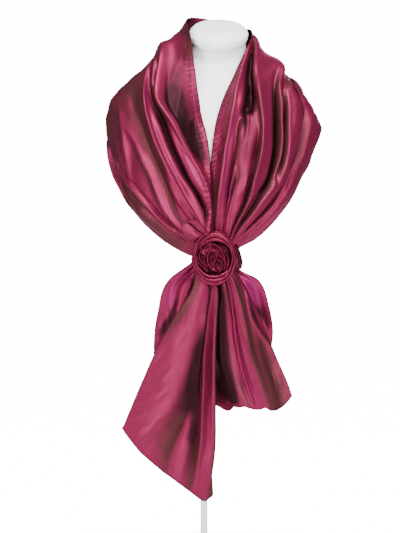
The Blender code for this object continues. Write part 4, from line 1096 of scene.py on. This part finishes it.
# %% Make the ends
end_pieces = {}
END_TABLES = (
    ("long_end", LONG_END_SECTIONS, LONG_END_FOLDS, LONG_END_CREASES, LONG_END_PAINTED_LIGHT, LONG_END_SHADES,
     LONG_END_HEM, 150, 150, -1),
    ("short_end", SHORT_END_SECTIONS, SHORT_END_FOLDS, SHORT_END_CREASES, SHORT_END_PAINTED_LIGHT, SHORT_END_SHADES,
     SHORT_END_HEM, 110, 140, 1),
)
for node, sections, folds, creases, painted_light_rows, shades, hem, rows, columns, facing in END_TABLES:
    base, points, height, painted_light, shade = lay_cloth(sections, END_KNOTS, folds + end_pleats(END_GATHERS),
                                                  creases, painted_light_rows, shades, rows, columns, facing, 0.45)
    draw_up_hem(points, hem)
    piece = dress("stole_" + node, points, base, height, TAFFETA, facing, hemmed_end=True,
                  painted_light=painted_light, shade=shade)
    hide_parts(node)
    end_pieces[node] = (piece, points)
    print(node, "area:", round(area_of(points), 4), "square metres")

# %% [markdown]
# ## Hem stitches
# The hems are turned in and sewn. Each stitch is a tiny spindle of thread that dips into the cloth
# at both ends. A row of them follows the neck hem and the lower hem of each end, a little in from
# the edge, where the grid itself gives the line.

# %% Stitch rows
SEAM_INWARDS = 13.0
STITCH_LENGTH, STITCH_PITCH, STITCH_RADIUS = 2.4, 3.6, 0.26


def seam_path(points, normals):
    """The line at the seam's distance from the grid's first column, with the cloth's normals."""
    _, over = flat_places(points)
    fields = np.concatenate([points, normals], axis=2)
    path = np.array([[np.interp(SEAM_INWARDS, over[row], fields[row, :, field]) for field in range(6)]
                     for row in range(len(points))])
    return path[:, :3], unit(path[:, 3:])


def sew(name, points, normals):
    """A row of stitches along the seam, as one piece."""
    path, outward = seam_path(points, normals)
    run = np.concatenate([[0], np.cumsum(np.linalg.norm(np.diff(path, axis=0), axis=1))])
    starts = np.arange(STITCH_PITCH, run[-1] - 2 * STITCH_PITCH, STITCH_PITCH)

    def read(values, at):
        return np.stack([np.interp(at, run, values[:, axis]) for axis in range(3)], axis=1)

    tips = [read(path, starts), read(path, starts + STITCH_LENGTH)]
    up = unit(read(outward, starts + STITCH_LENGTH / 2))
    side = unit(np.cross(tips[1] - tips[0], up))
    middle = read(path, starts + STITCH_LENGTH / 2) + up * (CLOTH_THICKNESS / 2 + STITCH_RADIUS / 2)
    tips = [tip + up * (CLOTH_THICKNESS / 2 - STITCH_RADIUS / 2) for tip in tips]
    ring = [middle + STITCH_RADIUS * way for way in (up, side, -up, -side)]
    corners = np.stack([tips[0]] + ring + [tips[1]], axis=1)
    first = np.arange(len(starts))[:, None, None] * 6
    faces = first + np.array([(0, 2, 1), (0, 3, 2), (0, 4, 3), (0, 1, 4), (5, 1, 2), (5, 2, 3), (5, 3, 4), (5, 4, 1)])
    mesh = bpy.data.meshes.new(name)
    mesh.from_pydata(in_metres(corners.reshape(-1, 3)).tolist(), [], faces.reshape(-1, 3).tolist())
    mesh.shade_smooth()
    piece = new_piece(name, mesh, THREAD)
    print(name, "stitches:", len(starts))
    return piece


neck_stitches = sew("neck_hem_stitches", shawl_points, grid_normals(shawl_points))
for node, facing in (("long_end", -1), ("short_end", 1)):
    points = end_pieces[node][1]
    normals = grid_normals(points) * facing
    sew(node + "_stitches", points[::-1].transpose(1, 0, 2), normals[::-1].transpose(1, 0, 2))

# %% [markdown]
# ## The band
# A folded strip of the same cloth, sewn into a loop. It is pulled tight, so it puckers up and
# down, and it bulges a little where the gather presses from inside.

# %% Band
GATHER_Y = -127.5
# Columns: share of the way up, centre across, half width, half depth.
BAND_SECTIONS = (
    (0.0, -1.0, 46.5, 23.0),
    (0.18, -0.5, 49.0, 25.0),
    (0.5, -2.0, 48.5, 26.0),
    (0.82, -3.5, 45.5, 25.0),
    (1.0, -4.5, 43.5, 23.5),
)
BAND_SQUARENESS = 0.85
BAND_LOWER = (575.0, -9.0)
BAND_UPPER = (600.0, 13.0)
# How strongly the band's right side is painted brown as shade.
BAND_PAINTED_SHADE = 0.7
BAND_AROUND, BAND_UP = 260, 26


def make_band():
    turn = np.linspace(0, 2 * math.pi, BAND_AROUND, endpoint=False)
    table = np.array(BAND_SECTIONS, float)
    share = np.linspace(0, 1, BAND_UP + 1)
    rows = smooth_through(table[:, 0], table, share)
    round_x = np.sign(np.cos(turn)) * np.abs(np.cos(turn)) ** BAND_SQUARENESS
    round_y = np.sign(np.sin(turn)) * np.abs(np.sin(turn)) ** BAND_SQUARENESS
    lower = BAND_LOWER[0] + BAND_LOWER[1] * np.cos(turn)
    upper = BAND_UPPER[0] + BAND_UPPER[1] * np.cos(turn)
    base = np.array([np.stack([centre + round_x * width, GATHER_Y + round_y * depth,
                               lower + (upper - lower) * up], axis=1) for up, centre, width, depth in rows])
    outward = grid_normals(np.concatenate([base, base[:, :1]], axis=1))[:, :-1]
    outward *= np.sign((outward * (base - base.mean(axis=(0, 1)))).sum(axis=2, keepdims=True))
    pucker = (0.6 * np.sin(turn * 17 + 0.6) + 0.4 * np.sin(turn * 29 + 2.0) + 0.5 * np.sin(turn * 7 + 4.0))
    middle = np.sin(math.pi * share) ** 0.6
    height = pucker[None, :] * (0.4 + 0.6 * middle[:, None])
    # The band is painted brown as shade towards its right side.
    brown = BAND_PAINTED_SHADE * np.clip(np.cos(turn), 0, 1)[None, :] + 0 * height
    return base, base + outward * height[..., None], height, brown


band_base, band_points, band_height, band_painted_shade = make_band()
# The fold share is three times the puckers' height, so painted shade darkens between them.
rose_band = dress("rose_band_cloth", band_points, band_base, band_height * 3, ROSE_TAFFETA, 1, 1.3, closed=True,
                  painted_light=band_painted_shade)
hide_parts("rose_band")

# %% [markdown]
# ## The rose
# A cloth rose is a bias strip rolled on itself. Its outer petals are puffed rolls that overlap,
# its heart a crushed spiral of narrow folds. Each petal here is a curled sheet: the rim follows a
# few rows of angle and radius, the profile curls from the root over the front to the rim.

# %% Petal helper
ROSE_CENTRE_X, ROSE_BACK_Y, ROSE_CENTRE_Z = -7.0, -154.5, 587.0
ROSE_STRETCH = 1.24
PETAL_PROFILE = ((1.0, 0.0), (0.55, 0.03), (0.12, 0.22), (0.0, 0.55), (0.14, 0.86), (0.45, 1.0), (0.85, 0.86))


def petal_grid(rows, back, along, across, crush):
    """A rolled petal as a calm grid, a crushed grid and the crushing itself."""
    table = np.array(rows, float)
    share = (table[:, 0] - table[0, 0]) / (table[-1, 0] - table[0, 0])
    angle, radius, width, rise = smooth_through(share, table, np.linspace(0, 1, along + 1)).T
    profile = np.array(PETAL_PROFILE)
    curl = smooth_through(np.linspace(0, 1, len(profile)), profile, np.linspace(0, 1, across + 1))
    out = radius[:, None] - width[:, None] * curl[None, :, 0]
    forward = rise[:, None] * curl[None, :, 1] - back * curl[None, :, 0] ** 2
    turn = np.radians(angle)[:, None]
    base = np.stack([ROSE_CENTRE_X + out * np.cos(turn), ROSE_BACK_Y - forward,
                     ROSE_CENTRE_Z + out * np.sin(turn) * ROSE_STRETCH], axis=2)
    around = np.radians(angle)[:, None] * radius[:, None]
    over = np.linspace(0, 1, across + 1)[None, :]
    wrinkle = (np.sin(around / 3.1 + 2.2 * over + 1.0) * 0.6 + np.sin(around / 5.3 - 3.0 * over + 2.0)
               + np.sin(around / 11.0 + 5.0 * over) * 0.8)
    height = crush * wrinkle * np.sin(math.pi * np.linspace(0, 1, along + 1))[:, None] ** 0.3
    normals = grid_normals(base)
    return base, base + normals * height[..., None], height


# %% Petals
# Name of the solid, how far the root reaches back, then rows of angle, radius of the rolled rim,
# width of the roll and how far it stands forward.
ROSE_PETALS = (
    ("rose_petal_outer", 1.7, ((105, 41.0, 4, 7), (140, 42.5, 5, 10), (180, 42.8, 6, 12), (225, 43.0, 7, 12),
                               (270, 42.6, 8, 12), (315, 43.0, 7, 12), (360, 43.0, 6, 12), (400, 43.0, 6, 11),
                               (450, 42.5, 5, 8))),
    ("rose_petal_top", 0.3, ((-35, 40.5, 3, 10), (-10, 41.0, 5, 15), (25, 41.0, 6, 18), (55, 41.0, 9, 20),
                             (85, 41.0, 11, 19), (115, 38.5, 8, 16), (145, 37.0, 5, 12))),
    ("rose_petal_lip", 0.0, ((172, 40.0, 3, 10), (200, 39.5, 5, 15), (235, 38.6, 6, 17), (270, 37.6, 7, 18),
                             (305, 38.0, 6, 17), (335, 39.0, 4, 12))),
    ("rose_petal_inner", 0.3, ((8, 35.5, 3, 11), (35, 35.5, 5, 15), (70, 33.0, 7, 18), (100, 32.0, 7, 18),
                               (135, 33.5, 5, 15), (170, 36.0, 3, 11))),
)
# More rolled strands, made the same way, that close the ring round the heart.
ROSE_STRANDS = (
    ("rose_strand_bottom", 0.2, ((150, 38.0, 3, 11), (190, 37.0, 5, 15), (230, 33.6, 6, 18), (265, 32.0, 6, 19),
                                 (300, 33.0, 6, 18), (340, 36.0, 4, 13))),
    ("rose_strand_right", 0.2, ((-75, 35.0, 3, 12), (-40, 36.5, 5, 16), (0, 37.5, 5, 17), (40, 37.8, 5, 17),
                                (75, 36.8, 5, 16), (105, 36.0, 3, 12))),
    ("rose_strand_left", 0.2, ((110, 34.5, 3, 12), (150, 38.8, 4, 15), (185, 39.2, 4, 16), (220, 38.0, 4, 14),
                               (245, 36.0, 3, 11))),
)
petal_pieces = {}
for name, back, rows in ROSE_PETALS + ROSE_STRANDS:
    base, points, height = petal_grid(rows, back, 130, 26, 0.3)
    # The fold share is six times the wrinkles' height, so painted shade darkens their hollows.
    piece = dress(name + "_cloth", points, base, height * 6, ROSE_TAFFETA, 1, 1.0)
    petal_pieces[name] = (piece, points)
for name, _, _ in ROSE_PETALS:
    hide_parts(name)

# %% [markdown]
# The heart is a strip wound up and crushed: no two folds run alike. It is made as a small dish of
# cloth with crests along a few lines drawn as on the photograph; each crest is steep on one side
# and rolls off gently on the other, so that one fold seems to lie over the next.

# %% Crests of the heart
HEART_HALF_WIDTH, HEART_HALF_HEIGHT = 37.5, 36.0
# Columns: height, width on the steep side, width on the gentle side, then the line, in millimetres
# across and up from the rose's middle.
HEART_CRESTS = (
    (8.0, 0.9, 4.0, ((-25, 21), (-26, 12), (-19, 7), (-16, 2))),
    (10.0, 1.0, 5.0, ((-9, 13), (-13, 0), (-11, -12), (-4, -21), (5, -26))),
    (9.0, 0.9, 4.0, ((-9, 13), (1, 14), (8, 10), (-2, 2))),
    (9.0, 4.0, 0.9, ((8, 11), (6, 2), (1, -9), (1, -21))),
    (9.0, 0.9, 3.5, ((7, -4), (14, -8), (16, -17), (12, -26))),
    (8.0, 3.5, 1.0, ((14, 22), (25, 7), (29, -5), (25, -21))),
    (8.0, 3.0, 0.9, ((9, 24), (19, 6), (22, -9), (20, -23))),
    (8.0, 3.5, 0.9, ((-24, 25), (-11, 30), (5, 25), (15, 16))),
    (7.0, 0.9, 2.5, ((-8, 27), (-4, 18), (1, 16))),
    (8.0, 0.9, 4.0, ((-33, -5), (-24, -16), (-13, -26))),
    (7.0, 0.9, 3.0, ((-29, 8), (-27, -3), (-18, -14))),
    (6.0, 0.8, 2.5, ((-20, -4), (-17, -11), (-12, -16))),
    (6.0, 2.5, 0.8, ((-4, 8), (-6, 0), (-3, -9))),
    (6.0, 0.8, 2.5, ((10, 4), (16, 1), (17, -6))),
)
# Crests higher than this catch the light, and what lies lower goes dark.
HEART_LIT = 5.0
HEART_FLOOR, HEART_RISE = 6.0, 2.5


def crest_height(x, z, line, steep, gentle):
    """1 on a curved line, falling to 0 beside it, faster on its steep side."""
    line = np.array(line, float)
    path = smooth_through(np.linspace(0, 1, len(line)), line, np.linspace(0, 1, 25))
    best = np.full(x.shape, 1e9)
    found = np.zeros(x.shape)
    for (x0, z0), (x1, z1) in zip(path[:-1], path[1:]):
        run_x, run_z = x1 - x0, z1 - z0
        share = np.clip(((x - x0) * run_x + (z - z0) * run_z) / (run_x**2 + run_z**2), 0, 1)
        away_x, away_z = x - x0 - share * run_x, z - z0 - share * run_z
        distance = np.hypot(away_x, away_z)
        side = np.sign(run_x * away_z - run_z * away_x)
        nearer = distance < best
        best = np.where(nearer, distance, best)
        found = np.where(nearer, side, found)
    return np.exp(-((best / np.where(found > 0, gentle, steep)) ** 1.2))


def make_heart():
    angle = np.linspace(0, 2 * math.pi, 221)[:-1]
    reach = np.linspace(1.0, 0.002, 76)
    x = reach[:, None] * np.cos(angle) * HEART_HALF_WIDTH
    z = reach[:, None] * np.sin(angle) * HEART_HALF_HEIGHT
    dish = HEART_FLOOR + HEART_RISE * (1 - reach[:, None] ** 2) + 0 * x
    crests = np.zeros_like(x)
    for tall, steep, gentle, line in HEART_CRESTS:
        crests = np.maximum(crests, tall * crest_height(x, z, line, steep, gentle))
    crushed = 0.5 * np.sin(x / 2.3 + z / 4.1) + 0.4 * np.sin(z / 1.9 - x / 3.7 + 1.0)
    forward = dish + crests + crushed * (1 - reach[:, None] ** 8)
    base = np.stack([ROSE_CENTRE_X + x, ROSE_BACK_Y - dish, ROSE_CENTRE_Z + z], axis=2)
    points = np.stack([ROSE_CENTRE_X + x, ROSE_BACK_Y - forward, ROSE_CENTRE_Z + z], axis=2)
    return base, points, (crests - HEART_LIT) * 2.2


heart_base, heart_points, heart_height = make_heart()
# Below the lit crests the heart gets the dark painted shade.
heart = dress("rose_heart_cloth", heart_points, heart_base, heart_height, ROSE_TAFFETA, 1, 0.8, closed=True)
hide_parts("rose_heart")

# %% Leaf
# A loop of the strip, turned over along one edge. Columns: lower edge, middle, crease, upper edge.
LEAF_SECTIONS = (
    ((-70, -161, 641), (-69.5, -164, 645), (-67, -163, 651), (-65, -164, 655.5)),
    ((-65, -159, 631), (-61, -168, 640), (-57.5, -163, 655), (-56, -167, 661.5)),
    ((-56, -158, 621), (-50, -169, 636), (-47.5, -163, 648.5), (-43, -168, 662)),
    ((-44, -157, 618), (-40, -167, 630), (-38, -162, 640), (-31.5, -167, 653.5)),
    ((-33, -157, 624), (-30, -161, 630), (-28.5, -160, 634.5), (-20, -163, 640)),
)


def make_leaf():
    table = np.array(LEAF_SECTIONS, float)
    rows = np.stack([smooth_through((0, 0.42, 0.7, 1), row, np.linspace(0, 1, 61)) for row in table])
    base = smooth_through(np.linspace(0, 1, len(table)), rows, np.linspace(0, 1, 71))
    normals = grid_normals(base)
    s = np.linspace(0, 1, 71)[:, None]
    t = np.linspace(0, 1, 61)[None, :]
    height = 0.5 * np.sin(7 * s + 4 * t) + 0.4 * np.sin(5 * s - 9 * t + 1.0)
    height = height - 3.0 * np.exp(-(((t - 0.7) / 0.03) ** 2)) * np.clip(s * 3, 0, 1)
    return base, base + normals * height[..., None], height


leaf_base, leaf_points, leaf_height = make_leaf()
# The fold share is four times the leaf's height, so painted shade darkens its crease.
leaf = dress("rose_leaf_cloth", leaf_points, leaf_base, leaf_height * 4, TAFFETA, 1, 1.0)
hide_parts("rose_leaf")
print("rose pieces:", len(petal_pieces) + 2)

# %% [markdown]
# ## Form and stand
# The form, its cap and the stand already have the right shapes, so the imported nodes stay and
# only get their finish.

# %% Finish of the form and the stand
for node, finish in (("bust_form", FORM_SKIN), ("neck_cap", FORM_SKIN), ("stand_pole", STAND_PAINT),
                     ("stand_base", STAND_PAINT)):
    for slot in bpy.data.objects[node].material_slots:
        slot.material = finish

# %% Floor
floor_mesh = bpy.data.meshes.new("studio_floor")
FLOOR_HALF = 30.0
floor_mesh.from_pydata([(-FLOOR_HALF, -FLOOR_HALF, -0.0005), (FLOOR_HALF, -FLOOR_HALF, -0.0005),
                        (FLOOR_HALF, FLOOR_HALF, -0.0005), (-FLOOR_HALF, FLOOR_HALF, -0.0005)], [], [(0, 1, 2, 3)])
floor = bpy.data.objects.new("studio_floor", floor_mesh)
bpy.context.scene.collection.objects.link(floor)
FLOOR_NEAR, FLOOR_FAR = 0.15, 0.5


def floor_paper():
    """White paper that takes a soft shadow near the stand and runs out into the white room."""
    made = bpy.data.materials.new("floor_paper")
    made.use_nodes = True
    tree = made.node_tree
    paper = tree.nodes["Principled BSDF"]
    paper.inputs["Base Color"].default_value = (0.93, 0.93, 0.93, 1.0)
    paper.inputs["Roughness"].default_value = 0.9
    paper.inputs["Specular IOR Level"].default_value = 0.1
    paper.inputs["Emission Color"].default_value = (1.0, 0.99, 0.985, 1.0)
    place = tree.nodes.new("ShaderNodeTexCoord").outputs["Object"]
    reach = tree.nodes.new("ShaderNodeVectorMath")
    reach.operation = "LENGTH"
    tree.links.new(place, reach.inputs[0])
    far = ramp_between(tree, reach.outputs["Value"], FLOOR_NEAR, FLOOR_FAR)
    seen = tree.nodes.new("ShaderNodeLightPath").outputs["Is Camera Ray"]
    glow = math_node(tree, "MULTIPLY", math_node(tree, "MULTIPLY", far, seen), ROOM_SEEN)
    tree.links.new(glow, paper.inputs["Emission Strength"])
    return made


floor_mesh.materials.append(floor_paper())

# %% [markdown]
# ## Flat sizes of the cloth
# Each sheet's flat size and area are printed. The drape is the stretch of the stole
# between the band's two mouths, the ends are what hangs below it.

def flat_size(points):
    """Mean length down the cloth and mean width over it, in metres."""
    down, over = flat_places(points)
    return round(float(over[:, -1].mean()) * MM, 3), round(float(down[-1].mean()) * MM, 3)


def declare(piece, points):
    """Print how large the flat cloth of a piece is, and its area."""
    size = flat_size(points)
    print(piece.name, "flat:", size, "area:", round(area_of(points), 4))


declare(shoulder_drape, shawl_points)
for node, (piece, points) in end_pieces.items():
    declare(piece, points)
declare(rose_band, band_points)
for piece, points in petal_pieces.values():
    declare(piece, points)
declare(leaf, leaf_points)
